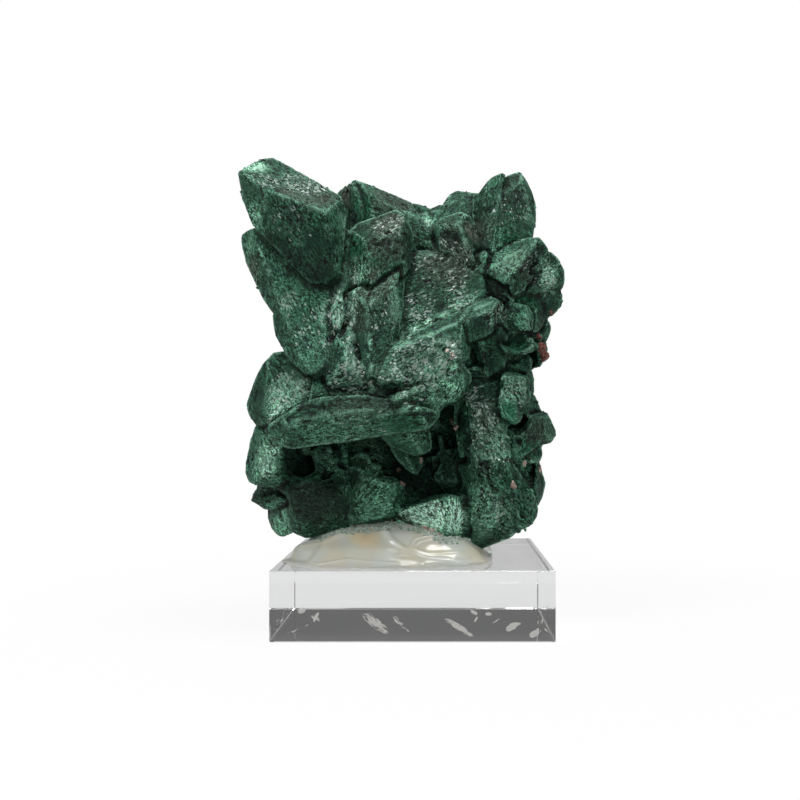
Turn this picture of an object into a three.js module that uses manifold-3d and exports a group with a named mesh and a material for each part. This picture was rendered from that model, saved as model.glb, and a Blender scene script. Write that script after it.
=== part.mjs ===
// Malachite after azurite: a fused spray of blocky crystals that stands in a bed of clear
// adhesive on a clear acrylic block.
// Millimetres, +Z up. The show side faces -Y. The origin is the middle of the block's underside.
import * as THREE from 'three';
import { ConvexGeometry } from 'three/addons/geometries/ConvexGeometry.js';
import { mergeVertices } from 'three/addons/utils/BufferGeometryUtils.js';
import Module from 'manifold-3d';

// Driving dimensions
const BLOCK_SIDE = 76.2;
const BLOCK_HEIGHT = 19.05;
const BLOCK_CHAMFER = 0.6;
const ADHESIVE_RISE = 10.4;
const ADHESIVE_GAP = 0.3;

// How crystals are cut from their outlines: the outline is drawn out to a front that is nearer
// than any face, and goes straight in for a rim's width before it narrows to the root.
const NEAR_FRONT = 45;
const RIM_WIDTH = 1;
const CUTTER = 300;

// Round leaves: sides of their outline, face and thickness as shares of the radius, how far they
// lean back and turn (radians), and how far their stalk reaches into the mass.
const LEAF_SIDES = 6;
const LEAF_FACE = 0.72;
const LEAF_THICKNESS = 0.5;
const LEAF_BACK = -0.5;
const LEAF_TURN = 0.3;
const LEAF_STALK = new THREE.Vector3(0, 16, 1.5);

// The points that the two sides are drawn from. A corner is given as how far across and up it
// appears on the plane through the middle of the block, and the Y that it really lies at.
const SHOW_EYE = new THREE.Vector3(6.8, -314.7, 59.1);
const BACK_EYE = new THREE.Vector3(-4, 320, 75);

const wasm = await Module();
wasm.setup();

function onSight(eye, [across, up, y]) {
  const reach = (y - eye.y) / -eye.y;
  return new THREE.Vector3(eye.x + (across - eye.x) * reach, y, eye.z + (up - eye.z) * reach);
}

// Crystals of the show side, each from what is seen of it: outline holds its convex outlines,
// faces the planes that show, by three points each, and root the corners buried in the mass.
const SHOW_SIDE = {
  crownBlock: {
    outline: [[
      [-53.7, 134], [-50, 135.6], [-47, 137.9], [-43, 138.4], [-33, 132.9], [-22.5, 126.8],
      [-20.8, 121.7], [-22, 104], [-30, 103.5], [-35, 104.5], [-46.5, 117], [-49.2, 118],
      [-52.3, 125.5],
    ]],
    faces: [
      [[-46, 129, -22], [-27.5, 122.2, -26], [-43, 138.4, -3]],
      [[-46, 129, -22], [-27.5, 122.2, -26], [-33, 106, -20]],
      [[-45.2, 127, -22], [-45.5, 117, -19], [-52.5, 125, -13]],
      [[-27.5, 122.2, -26], [-23.5, 108, -21.5], [-21, 124, -16]],
    ],
    root: [[-42, 122, 6], [-26, 112, 8], [-30, 98, 0]],
  },
  leftBlade: {
    outline: [
      [
        [-52.7, 114.8], [-51, 116.2], [-48, 117.3], [-44, 114.5], [-34, 103.5], [-25, 97],
        [-25.2, 92], [-44, 93], [-46.3, 96], [-51.2, 106.5], [-52.3, 111],
      ],
      [
        [-44, 96], [-25, 97], [-25.2, 88], [-28, 73.8], [-30, 72.6], [-33.5, 72.8], [-38, 77],
        [-42.4, 84.5], [-42.2, 89], [-43.5, 93],
      ],
    ],
    faces: [
      [[-45, 112, -12], [-27, 95, -20], [-31, 76, -29]],
      [[-44, 102, -16.8], [-35, 77, -28], [-47, 97.5, -12.5]],
      [[-50, 113, -13], [-44, 113, -12.3], [-46, 117.2, -7]],
    ],
    root: [[-40, 110, 4], [-42, 96, 0], [-34, 78, -4], [-24, 90, -4]],
  },
  crownBack: {
    outline: [[
      [-18.6, 131.8], [-10, 128.6], [-1.3, 124.9], [1.5, 120.5], [5.3, 114.5], [7.8, 110],
      [-19, 110], [-20.1, 120], [-19.6, 130.8],
    ]],
    faces: [
      [[-14, 129, 0], [-2, 122, -3], [-8, 112, -6]],
      [[-14, 129, 0], [-12, 118, -4.6], [-19.8, 124, 6]],
      [[-14, 127, -0.8], [0, 121, -3], [-8, 128, 4]],
    ],
    root: [[-20, 122, 18], [-6, 122, 20], [4, 112, 16], [-8, 100, 8]],
  },
  crownBackFlank: {
    outline: [[[-23.7, 127.5], [-21.2, 130], [-19, 131.4], [-17, 118], [-19, 108], [-24, 110]]],
    faces: [[[-23.5, 127, 12], [-19.3, 130, 4], [-20, 121, 6]]],
    root: [[-22, 120, 22], [-16, 122, 20], [-19, 108, 14]],
  },
  crownShadow: {
    outline: [[[-2, 124.8], [1, 124.3], [4.9, 122.9], [4, 117], [-2, 117]]],
    faces: [[[-1, 124, 16], [4.5, 122.5, 17], [2, 118, 14]]],
    root: [[0, 119, 26], [5, 117, 26], [2, 108, 20]],
  },
  crownMiddle: {
    outline: [[
      [-21, 113], [-19.8, 116.6], [-17.5, 118.7], [-12, 120.3], [-6, 122.7], [-4, 121.8],
      [-1.5, 118], [-0.3, 113], [-1, 106], [-3.5, 102], [-13, 98], [-21.5, 98], [-21.8, 108],
    ]],
    faces: [
      [[-12, 116, -17], [-3, 112, -15.5], [-10, 104, -20]],
      [[-18, 115, -15.5], [-4, 117.5, -14.7], [-9, 121, -9.5]],
      [[-16, 114, -17], [-16, 103, -20], [-21, 110, -14]],
      [[-4, 116, -15], [-3.5, 106, -18], [-0.5, 113, -10]],
    ],
    root: [[-14, 112, 5], [-4, 110, 6], [-12, 94, 0]],
  },
  spearhead: {
    outline: [[
      [-21, 97.2], [-15, 99.8], [-8, 104.2], [-4, 105.6], [-3.2, 103], [-3.3, 97], [-4.8, 84.5],
      [-7.5, 80.5], [-12.3, 72.5], [-14.5, 71.2], [-16, 76], [-19, 83.5], [-21, 89.5],
    ]],
    faces: [
      [[-18.5, 95.5, -25], [-4.5, 100.5, -22.5], [-9, 103.5, -19]],
      [[-14.5, 93, -27.5], [-4.2, 94, -23.5], [-12, 75, -31.5]],
      [[-15, 95, -27], [-14, 78, -31], [-20.6, 92, -23]],
      [[-6.3, 101, -23.3], [-6.8, 84, -27], [-3.5, 93, -18.5]],
    ],
    root: [[-8, 98, -4], [-14, 92, -4], [-12, 76, -8]],
  },
  centreRidgeTop: {
    outline: [[
      [-22.3, 108], [-20.5, 104], [-19.5, 98], [-20, 84], [-26, 83], [-27, 89], [-25, 96],
    ]],
    faces: [
      [[-24.5, 95, -21.5], [-21.8, 104, -19.5], [-23, 84, -27]],
      [[-21.8, 104, -19.5], [-22.5, 86, -26.5], [-19.5, 95, -21]],
    ],
    root: [[-22, 100, -4], [-23, 84, -6]],
  },
  centreRidgeFoot: {
    outline: [[
      [-21.3, 90], [-18.9, 83.5], [-13.2, 70.3], [-16.5, 66.3], [-20, 65], [-25, 66.3],
      [-28.3, 72], [-25.7, 83],
    ]],
    faces: [
      [[-21.3, 84, -28.8], [-20.8, 70, -34], [-27, 73, -28.5]],
      [[-21.3, 84, -28.8], [-20.8, 70, -34], [-14.8, 73, -28.5]],
      [[-26, 70, -30], [-15.5, 70, -30.5], [-20, 65.3, -29]],
      [[-24, 84, -27], [-20.2, 84, -28], [-21.3, 90, -23.5]],
    ],
    root: [[-22, 84, -8], [-26, 68, -8], [-16, 68, -8]],
  },
  flatFace: {
    outline: [[
      [-2.8, 110], [0, 110.9], [21.6, 110.4], [22.6, 107], [21.5, 96], [12, 90], [2, 84],
      [-4.5, 83.5], [-4.5, 95],
    ]],
    faces: [
      [[-2, 108, -11.5], [20, 108, -10.5], [8, 92, -17]],
      [[0, 109, -11.3], [20, 109, -10.3], [10, 111, -6]],
    ],
    root: [[0, 105, 6], [20, 105, 6], [10, 86, 0]],
  },
  cube: {
    outline: [[
      [5.2, 116], [6.3, 119.3], [9, 120.7], [13.5, 122], [16.5, 120.8], [18.3, 117.5],
      [20.2, 112.5], [21.5, 108], [7.5, 108], [5.2, 114.3],
    ]],
    faces: [
      [[6, 115, -9], [14, 114, -10.5], [11, 110, -10.6]],
      [[6.5, 118, -9], [13, 118, -10.3], [13.5, 121.8, -3]],
      [[13, 118, -10.3], [16.5, 110.3, -11.6], [19.5, 113, -5]],
      [[6.8, 118, -9], [7.4, 112, -9.8], [5.3, 115, -6]],
    ],
    root: [[8, 114, 8], [18, 112, 8], [12, 102, 4]],
  },
  raggedBack: {
    outline: [
      [[1, 121.5], [4.8, 123.1], [8.3, 124.6], [9, 116], [2, 114]],
      [
        [8.2, 124.4], [10.4, 127.2], [12.4, 128.3], [15.5, 127.7], [19.8, 127.5], [18.5, 114],
        [9, 114],
      ],
    ],
    faces: [
      [[3, 122, 8], [14, 126, 11], [9, 117, 5]],
      [[4, 122, 8], [12, 125.5, 10.6], [9, 127, 16]],
    ],
    root: [[6, 120, 24], [16, 122, 26], [14, 106, 16], [4, 108, 16]],
  },
  crownLobeLeft: {
    outline: [[
      [19.8, 128], [21.2, 130.6], [22.6, 132.2], [26, 133.7], [27.1, 133.6], [27.7, 128.5],
      [26.4, 121], [26, 108], [19, 108], [17.2, 121], [17.4, 125.4],
    ]],
    faces: [
      [[20.5, 128, 1], [26.3, 131, -1.4], [22, 113, -5.5]],
      [[26, 131, -1.4], [25.2, 123, -3.4], [27.7, 128, 2.5]],
      [[21, 128, 0.9], [20, 114, -4.7], [17.3, 123, 5]],
    ],
    root: [[20, 120, 18], [26, 124, 18], [24, 106, 10]],
  },
  crownLobeRight: {
    outline: [[
      [27, 132.7], [30, 133.3], [31.6, 134.2], [33.6, 131.3], [35.2, 128], [36.3, 124],
      [36.4, 119], [35.4, 114], [34.5, 109], [25, 109], [26, 122], [27, 127.5],
    ]],
    faces: [
      [[28.5, 131, 0], [33, 127, -1], [30, 114, -5.5]],
      [[32.3, 131, -0.3], [35, 121, -3.4], [35.6, 126.5, 5]],
      [[28, 129, -0.4], [32, 130, -0.8], [31, 133.8, 4]],
    ],
    root: [[28, 124, 20], [34, 118, 20], [28, 106, 14]],
  },
  shoulderBlock: {
    outline: [
      [
        [21.8, 107.2], [23.5, 109], [28.5, 112.7], [34, 114.3], [37.3, 114.4], [36, 108],
        [29, 101.3], [24.8, 102.5], [21.5, 103.3],
      ],
      [
        [28.2, 101.3], [35, 110.5], [37.3, 114.4], [40.6, 110.5], [41.2, 107.3], [36.5, 101.8],
        [32.5, 98], [29.5, 96.4],
      ],
    ],
    faces: [
      [[28.4, 101.4, -21], [37.3, 114.4, -9.5], [22.5, 106, -12]],
      [[28.4, 101.4, -21], [37.3, 114.4, -9.5], [36.5, 102, -12.5]],
    ],
    root: [[26, 104, 2], [36, 108, 4], [30, 98, -2]],
  },
  shoulderFoot: {
    outline: [[[20.2, 102.8], [28.6, 102.4], [28.7, 96], [24, 95.4], [21.4, 97.5]]],
    faces: [[[21, 101, -12.6], [28, 101, -16], [26, 97, -15.5]]],
    root: [[20, 102, 0], [30, 98, 0], [24, 92, -4]],
  },
  diagonalBlade: {
    outline: [[
      [-7.8, 80.3], [-5, 82.9], [0, 86], [10, 90.8], [15.5, 93], [16.8, 84], [16.4, 77.5],
      [8, 74.5], [0, 70.6], [-11.5, 69.6], [-12, 71], [-9.5, 76.5],
    ]],
    faces: [
      [[-6.5, 80.6, -30.3], [24, 93, -20], [4, 89, -22]],
      [[-6.5, 80.6, -30.3], [24, 93, -20], [0, 71, -33]],
      [[14, 87, -24], [13.5, 77, -28], [17.5, 80, -20]],
    ],
    root: [[0, 78, -8], [12, 88, -8], [-8, 72, -10], [14, 80, -8]],
  },
  diagonalTail: {
    outline: [[
      [6, 88.2], [14, 92.3], [20, 95.4], [22.3, 96.8], [25, 95.6], [27.8, 92.5], [26.5, 87.5],
      [22, 84.5], [14, 81.5],
    ]],
    faces: [
      [[-6.5, 80.6, -29.9], [24, 93, -19.6], [4, 89, -21.6]],
      [[6, 86, -25.2], [24, 93, -19.6], [18, 84, -21.5]],
      [[23.5, 93, -19.8], [22.5, 86, -20.6], [27.7, 91, -13]],
    ],
    root: [[14, 88, -6], [24, 92, -4], [20, 86, -4]],
  },
  roundLobe: {
    outline: [[
      [5, 73.3], [8, 75.3], [12, 76.2], [15, 75.4], [16.7, 73.4], [17.1, 70.8], [15.2, 66.8],
      [12.5, 64.2], [8, 62.5], [0, 61], [-6, 62], [-9, 67], [-4, 70],
    ]],
    faces: [
      [[0, 68, -33], [14, 72, -26.5], [10, 65, -29.4]],
      [[-6, 67, -33], [8, 73.5, -28.4], [0, 71.4, -28.5]],
      [[0, 65, -33.6], [13, 66, -28], [5, 61.5, -29]],
      [[14, 74, -25.6], [14.3, 67, -27.6], [17, 70.8, -21]],
    ],
    root: [[10, 64, -10], [14, 72, -8], [-5, 66, -10]],
  },
  ledgeBlade: {
    outline: [[
      [-46.5, 56.5], [-44, 53.3], [-41, 51.4], [-37.5, 50.2], [-30, 51.3], [-11, 54.2],
      [0, 55.6], [3.7, 56.1], [6.2, 58.2], [7.9, 61], [4, 62.6], [-8, 65.3], [-15, 66.7],
      [-28, 66.2], [-34, 64.7], [-40, 60],
    ]],
    faces: [
      [[-40, 53, -34], [-10, 60.8, -36], [2, 57.2, -33]],
      [[-38, 58.6, -34.6], [-8, 61, -35.9], [-20, 66.4, -33]],
      [[-39.5, 59, -34.4], [-39.5, 51.5, -34], [-46.3, 56.5, -26]],
      [[3, 61, -34], [3, 56.5, -33], [7.7, 60.5, -28]],
    ],
    root: [[-40, 57, -10], [0, 60, -10], [-20, 66, -8], [-34, 54, -14], [-2, 57.5, -14]],
  },
  leftBulge: {
    outline: [[
      [-40, 80], [-43, 79.4], [-46, 76.2], [-48.5, 71.5], [-49.8, 67.3], [-51.2, 63.8],
      [-50, 59.3], [-48.3, 57.2], [-41, 56], [-34, 60], [-27, 66], [-28, 70], [-33, 75],
    ]],
    faces: [
      [[-40, 78.5, -16], [-46, 68, -21.5], [-30, 71, -23]],
      [[-46, 67, -22], [-33, 67.5, -27], [-42, 57, -28.5]],
      [[-44.5, 76, -17], [-46, 60, -24], [-51, 64, -14]],
    ],
    root: [[-44, 70, 2], [-40, 60, 0], [-30, 72, -5]],
  },
  leftFoot: {
    outline: [[
      [-48.3, 58], [-50, 53], [-51.3, 46], [-51.4, 43], [-50.3, 40.3], [-46, 38.7], [-41, 38.8],
      [-40, 40], [-38, 44.5], [-36.7, 48.5], [-37, 52], [-42, 57],
    ]],
    faces: [
      [[-47, 55, -22.5], [-38.5, 49, -23.5], [-44, 41, -21.5]],
      [[-47, 55, -22.5], [-46.5, 42, -21.5], [-51.2, 45, -13]],
      [[-46, 42.5, -21.5], [-41, 42, -22], [-46, 38.8, -16]],
      [[-40.5, 50, -23.3], [-41.5, 41, -21.6], [-37.5, 46, -17]],
    ],
    root: [[-44, 50, 4], [-46, 42, 4], [-30, 48, 6], [-32, 40, 6]],
  },
  leftChip: {
    outline: [[[-50.4, 34.4], [-48.8, 38.4], [-45, 39.5], [-42, 37], [-43.5, 32], [-46.5, 31.9]]],
    faces: [
      [[-49.5, 34.5, -8], [-45, 37.5, -12], [-45, 33, -12.5]],
      [[-48, 37, -10], [-44, 37, -12.6], [-46, 39.4, -8]],
    ],
    root: [[-44, 38, 6], [-36, 34, 6]],
  },
  leftToe: {
    outline: [[
      [-44.8, 34], [-41.5, 37], [-38, 31], [-36.6, 25.3], [-39.5, 23.9], [-41.2, 23.9],
      [-43.4, 26], [-44.6, 29.5],
    ]],
    faces: [
      [[-43, 33, -11], [-38, 29, -15], [-41, 25, -12]],
      [[-42.5, 33, -11.5], [-41.7, 26, -12], [-44.6, 30, -6]],
    ],
    root: [[-38, 34, 6], [-34, 28, 6]],
  },
  darkFoot: {
    outline: [[
      [-41.7, 37.5], [-39.5, 40.3], [-33, 42.4], [-29, 43.8], [-23.5, 42.5], [-19.2, 40.3],
      [-19.2, 31], [-19.6, 26.6], [-27, 24.8], [-33, 23.2], [-37.3, 25.2], [-40.8, 30],
    ]],
    faces: [
      [[-37.5, 37, -20], [-21, 38, -22.5], [-28, 29, -22.6]],
      [[-36, 39, -19.6], [-23, 40, -21.6], [-30, 43.7, -15]],
      [[-38, 36, -20], [-36, 28, -20.5], [-41.5, 34, -13.5]],
      [[-34, 27.5, -21.7], [-22, 29, -22.7], [-30, 23.6, -17.5]],
    ],
    root: [[-34, 36, 4], [-24, 40, 4], [-28, 27, 4]],
  },
  fanFoot: {
    outline: [[
      [-20, 41.7], [-14, 41.8], [-10, 42.3], [-6, 41.7], [-3.3, 38.5], [-2.7, 36.5],
      [-4.5, 31], [-9, 28.2], [-14, 27.6], [-18.9, 27.7], [-20, 34],
    ]],
    faces: [
      [[-18, 39, -18.5], [-5, 38, -18.5], [-12, 29, -22]],
      [[-17, 40, -18], [-6, 40.2, -17.6], [-12, 42.4, -13.5]],
      [[-6.5, 39, -18.1], [-8, 30, -21.4], [-3.5, 35, -15]],
    ],
    root: [[-14, 38, 2], [-6, 38, 2], [-12, 28, 0]],
  },
  brokenFoot: {
    outline: [[
      [-4.2, 31.5], [-1, 33.7], [4, 36], [9, 37.1], [15.3, 35.7], [15.8, 34], [14.6, 26],
      [13.8, 23.6], [9.8, 23.6], [4, 25.6], [-2, 27.7],
    ]],
    faces: [
      [[-3, 31, -19], [9.8, 35.5, -22], [8, 25, -23.5]],
      [[9.9, 36.5, -22], [9.6, 24.3, -24], [15.4, 30, -19.5]],
      [[0, 33.2, -19.6], [9, 35.8, -21.7], [4, 36.1, -16]],
    ],
    root: [[2, 34, 0], [12, 34, 0], [6, 27, 0]],
  },
  brokenFootKeel: {
    outline: [[[-7, 29.3], [3, 26.5], [14.2, 24.5], [14.3, 21.9], [13, 21.1], [8, 22.5], [-4, 27]]],
    faces: [[[-5, 28, -17], [13, 23.5, -20], [6, 24, -19.3]]],
    root: [[-2, 28, -4], [12, 26, -4], [6, 24.5, -6]],
  },
  underLedge: {
    outline: [[
      [-11.5, 55], [-3, 56.5], [4.5, 56.5], [5.1, 50.3], [2.5, 48.6], [0, 48.1], [-3, 49.2],
      [-8, 51.3],
    ]],
    faces: [
      [[-9, 53, -26], [0, 54, -25.5], [-2, 49.6, -22.5]],
      [[-1, 54.5, -25.5], [1, 49, -22.5], [4.8, 52.5, -20]],
    ],
    root: [[-6, 55, -4], [2, 54, -4]],
  },
  underLedgeTail: {
    outline: [[
      [-8.5, 52], [-5.5, 47], [-2.8, 44.2], [0.4, 42.1], [1.4, 45], [0.3, 48.8], [-3, 51],
    ]],
    faces: [
      [[-7, 50, -20], [-1.5, 48, -20.5], [-1.5, 43.8, -17]],
      [[-2.5, 49, -20.4], [-0.6, 43.6, -17.4], [1, 46, -15]],
    ],
    root: [[-3, 51, 0], [3, 47, 0], [-1, 46, 0]],
  },
  rightUpper: {
    outline: [[
      [13.3, 62.5], [16, 66.5], [25, 68.3], [26.4, 60], [28.5, 50], [29.5, 44], [26.5, 42.3],
      [18, 46], [13, 49.5], [12, 56],
    ]],
    faces: [
      [[17, 64, -19], [24, 65, -18], [22, 48, -25]],
      [[17.5, 62, -20], [17.5, 48, -24.6], [12.5, 55, -16.5]],
      [[17, 63.6, -19], [25, 64.5, -17.8], [21, 67.8, -12]],
    ],
    root: [[16, 56, -2], [28, 58, 0], [24, 46, -2]],
  },
  rightBridge: {
    outline: [[[25.5, 58], [31.5, 56.3], [36, 54.2], [37.9, 51.8], [33.5, 49], [30, 46], [26, 46]]],
    faces: [
      [[27, 55.5, -19], [36, 53, -11], [30, 48, -20]],
      [[27, 55, -19.3], [33, 54, -13.7], [31, 56.6, -11]],
    ],
    root: [[28, 56, 0], [34, 52, 0], [30, 48, -2]],
  },
  rightSplit: {
    outline: [[
      [20.2, 46.5], [28.8, 47.3], [29, 40.5], [31.5, 37.6], [36.4, 35.8], [37.1, 32.3],
      [36.9, 30], [35, 27.1], [31.2, 25.5], [26.2, 33.3], [22.1, 41],
    ]],
    faces: [
      [[21.5, 45.5, -28], [28, 41, -25], [30.5, 29, -23]],
      [[28.3, 44, -25.4], [31.6, 29, -22.3], [36.8, 31, -14]],
    ],
    root: [[28, 42, -2], [34, 31, 0], [28, 34, 0]],
  },
  rightFoot: {
    outline: [[
      [13, 46], [20, 45.2], [24.3, 36.3], [30.2, 28.3], [31, 25.6], [28.8, 23.5], [25, 23.6],
      [22, 22], [19.6, 20], [16.5, 20], [14, 21.4], [15.6, 34], [12.5, 39],
    ]],
    faces: [
      [[18, 43, -24.5], [25, 34, -26], [21.5, 23, -22]],
      [[17.6, 43, -24.3], [17.4, 22, -21], [14.6, 28, -16.5]],
      [[25, 36, -26.5], [27.5, 26, -23.5], [30.3, 28, -18.5]],
      [[18, 24, -21.8], [28, 26, -22], [22, 21, -18]],
    ],
    root: [[18, 40, 0], [26, 30, 0], [18, 25, 0]],
  },
  rightRecess: {
    outline: [[[6.5, 49.5], [13, 51], [20, 47], [21, 41], [16, 36.5], [9, 37], [5.5, 41]]],
    faces: [
      [[8, 48, -11], [18, 45, -17.5], [10, 39, -15]],
      [[9, 41, -14], [17, 40, -19], [12, 36.5, -12]],
    ],
    root: [[10, 46, 2], [18, 44, 2], [12, 38, 2]],
  },
  rightShardTop: {
    outline: [[[40.4, 110.4], [42.5, 108.5], [44, 106.8], [40, 105.9], [36.5, 106.5]]],
    faces: [[[40, 109.5, -7], [43.5, 107, -3], [38, 106.3, -10]]],
    root: [[38, 106, 10], [34, 102, 8]],
  },
  rightShardHigh: {
    outline: [[
      [37, 105.6], [43.9, 106.4], [44.9, 104.5], [45.1, 101.5], [44.5, 98], [38, 96.6],
      [35.3, 99.5],
    ]],
    faces: [
      [[38, 105, -10], [44.5, 103, -3.5], [40, 98, -9]],
      [[36, 101, -13], [40.5, 104, -8], [38, 97, -10]],
    ],
    root: [[36, 102, 10], [32, 98, 8]],
  },
  rightShardMiddle: {
    outline: [[
      [44.5, 98], [44.2, 93.5], [42.8, 92], [41.2, 90.4], [39.8, 91.4], [37.8, 95], [37.5, 98],
    ]],
    faces: [
      [[39.5, 97, -8], [44, 95, -2.5], [41, 91, -5]],
      [[38.5, 97, -8.6], [40.5, 92, -6], [37.8, 96, -5]],
    ],
    root: [[33, 99, 8], [32, 90, 6]],
  },
  rightPane: {
    outline: [[
      [26.5, 96], [33, 97.8], [38.6, 96.5], [39.3, 91], [39, 86.6], [36, 85], [28.5, 85.2],
      [25.5, 88],
    ]],
    faces: [
      [[28, 94, -16], [37, 94, -10.5], [33, 86.5, -14.5]],
      [[36.5, 94, -10.8], [36.5, 87, -12], [39.2, 90, -6]],
    ],
    root: [[30, 94, 2], [34, 86, 2]],
  },
  rightPaneShard: {
    outline: [[[29.5, 94.8], [34, 93.7], [36, 90.5], [35.4, 86.2], [31, 86], [28.7, 90]]],
    faces: [
      [[30, 93, -18], [34, 91, -17.3], [32, 87, -18.5]],
      [[33.5, 93, -17.2], [34, 87, -17.8], [35.9, 90, -13]],
    ],
    root: [[31, 92, -2], [33, 88, -2]],
  },
  rightShardLow: {
    outline: [[[39.3, 90.2], [40.6, 88.4], [41.1, 87], [40.5, 84.8], [39.4, 82.6], [36, 83], [36, 89]]],
    faces: [
      [[38, 88, -8], [40.8, 87, -3.5], [38.5, 84, -7.5]],
      [[37, 88.5, -8], [39, 87.5, -6.8], [38.5, 90, -5]],
    ],
    root: [[35, 88, 6], [33, 84, 4]],
  },
  rimmedLeaf: {
    outline: [[
      [26, 84.3], [31, 85], [36, 86], [39, 83.5], [38.3, 81.5], [35, 79.3], [32, 78.6],
      [27, 78.8], [25.3, 81.5],
    ]],
    faces: [
      [[27, 83.5, -14.5], [38, 83, -10], [30, 79.6, -19]],
      [[34, 80, -16.2], [35.5, 84, -12], [38.6, 82.2, -8]],
    ],
    root: [[30, 84, 0], [34, 82, 0]],
  },
  redNub: {
    outline: [[
      [37.5, 82.6], [39.6, 82.6], [40, 80.3], [38.9, 78.6], [38.4, 76], [37.5, 74.8],
      [35.5, 74.7], [36, 79],
    ]],
    faces: [
      [[37, 81, -6], [39.5, 80, -3.5], [37.5, 76, -5.5]],
      [[36.8, 81, -6.1], [37.2, 76, -5.6], [35.6, 78, -3]],
    ],
    root: [[32, 82, 5], [31, 77, 5]],
  },
  paleLeaf: {
    outline: [[
      [25.6, 71.5], [27.5, 74.3], [31.5, 73.9], [34.3, 72], [35.2, 68], [34.7, 65.2],
      [33.3, 63.2], [31.8, 62.3], [28, 66],
    ]],
    faces: [
      [[27, 72.5, -19], [33.5, 70.5, -15], [31, 64.5, -18.5]],
      [[32.8, 71, -15.6], [33.3, 65, -16.5], [35.1, 68, -11.5]],
      [[27, 72.6, -18.8], [33, 71.8, -15.4], [30, 74.2, -12]],
    ],
    root: [[28, 71, 0], [32, 67, 0]],
  },
  greenLeaf: {
    outline: [[
      [25.2, 66.3], [26.5, 69.8], [30.8, 65.9], [32.4, 62], [32.4, 59.5], [31, 57.8],
      [29.5, 57.5], [26, 60], [24.8, 63],
    ]],
    faces: [
      [[26, 65.5, -21], [30, 63, -21], [27.5, 60, -22.5]],
      [[30, 65.8, -20.6], [30.9, 58.5, -21.5], [32.4, 61, -17]],
    ],
    root: [[26, 65, -6], [29, 61, -6]],
  },
  darkKnob: {
    outline: [[
      [34, 58.5], [36.5, 61.4], [39.7, 61.5], [40.8, 58.6], [42.3, 56], [42.5, 54.3],
      [41, 52.3], [38.5, 51.6], [35.6, 52.8], [33.6, 55.5],
    ]],
    faces: [
      [[36, 59, -12.5], [39.5, 58, -10], [39, 54, -11]],
      [[39.3, 59.5, -9.8], [39.8, 54, -10.2], [42.3, 55.5, -3.5]],
      [[36, 60, -12], [39.4, 60, -9.6], [38, 61.6, -5]],
      [[36.5, 54.5, -12.7], [40.5, 54, -9.4], [38.8, 51.8, -5]],
    ],
    root: [[34, 60, 8], [32, 55, 6]],
  },
  rightSeam: {
    outline: [
      [[34, 75.2], [35.2, 74.3], [35.9, 71.5], [35.9, 66], [34, 62], [31.5, 66]],
      [[33, 68], [35.9, 67], [36.4, 64.6], [38.2, 61.3], [34, 59.5]],
    ],
    faces: [[[33, 73, -8], [36, 68, -4], [35, 62, -8]]],
    root: [[30, 73, 6], [31, 62, 6]],
  },
  rightSkirt: {
    outline: [[[31.5, 53], [37.8, 52.4], [38.5, 48.6], [37.6, 46.6], [34, 45.6], [31, 47]]],
    faces: [[[33, 51, -14], [38, 50, -7], [34, 47, -13]]],
    root: [[31, 52, 4], [31, 47, 2]],
  },
  rightStrut: {
    outline: [[[31, 48], [33.7, 47], [34.1, 42], [33.8, 36.2], [30.7, 36], [30.6, 41]]],
    faces: [
      [[31.5, 46, -17], [32.6, 45, -17.2], [32, 38, -19]],
      [[32.8, 46, -16.6], [32.7, 38, -18.6], [34, 42, -13.5]],
    ],
    root: [[31, 46, 0], [32, 38, 0]],
  },
  rightHem: {
    outline: [[
      [36.2, 46], [37.7, 45.9], [38, 43.8], [39.3, 40], [38.2, 37], [38.2, 35.2], [36.6, 32.2],
      [33.8, 33.5], [35.3, 41],
    ]],
    faces: [
      [[36.5, 43, -10], [38.8, 40, -5.5], [36, 35, -12.5]],
      [[36.2, 44, -9.6], [35.8, 36, -12.4], [35.2, 41, -7]],
    ],
    root: [[31, 44, 6], [32, 36, 4]],
  },
  nestLobe: {
    outline: [[
      [-31.4, 50], [-29, 51.5], [-25.3, 51], [-24.6, 46.5], [-26.8, 44.3], [-30.6, 44.7],
      [-31.5, 47],
    ]],
    faces: [
      [[-30, 49, -19], [-26, 48.5, -18.5], [-28.4, 46, -19.5]],
      [[-30, 47, -19], [-26, 47, -18.8], [-28.4, 44.5, -15]],
    ],
    root: [[-29, 50, 0], [-27, 46, 0]],
  },
  nestRib: {
    outline: [[[-23.5, 53], [-20.5, 53], [-18, 47], [-19, 39], [-23, 39.5], [-23.8, 45]]],
    faces: [
      [[-22, 51, -16], [-20.5, 44, -19], [-23.3, 44, -16]],
      [[-21, 51, -16], [-20.5, 44, -19], [-18.6, 45, -15]],
    ],
    root: [[-22, 50, 2], [-20, 42, 2]],
  },
  saddle: {
    outline: [[[-30, 95], [-31, 103], [-24, 106], [-20, 102], [-21, 95]]],
    faces: [[[-29, 103, -13], [-21, 102, -14], [-25, 96, -19]]],
    root: [[-26, 100, -8]],
  },
  ridgeBed: {
    outline: [[[-32, 66], [-31, 73], [-22, 76], [-8, 74], [-6, 68], [-8, 64], [-28, 64]]],
    faces: [[[-30, 72, -27], [-8, 72, -29.5], [-18, 65, -31.5]]],
    root: [[-26, 70, -6], [-10, 70, -6]],
  },
  lobeShade: {
    outline: [[[11.5, 57], [12, 74], [20, 76], [22, 66], [20, 56]]],
    faces: [[[12, 72, -16], [20, 72, -15], [15, 58, -15]]],
    root: [[15, 66, 0]],
  },
  slotBack: {
    outline: [[[14, 66], [14, 73], [27, 76], [29, 68], [24, 65]]],
    faces: [[[15, 72, -14.5], [27, 73, -14.5], [22, 66, -16.5]]],
    root: [[20, 70, 0]],
  },
  shardBed: {
    outline: [[[25, 74], [26, 81], [33, 81], [35.5, 77], [35, 73.5], [28, 72]]],
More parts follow.
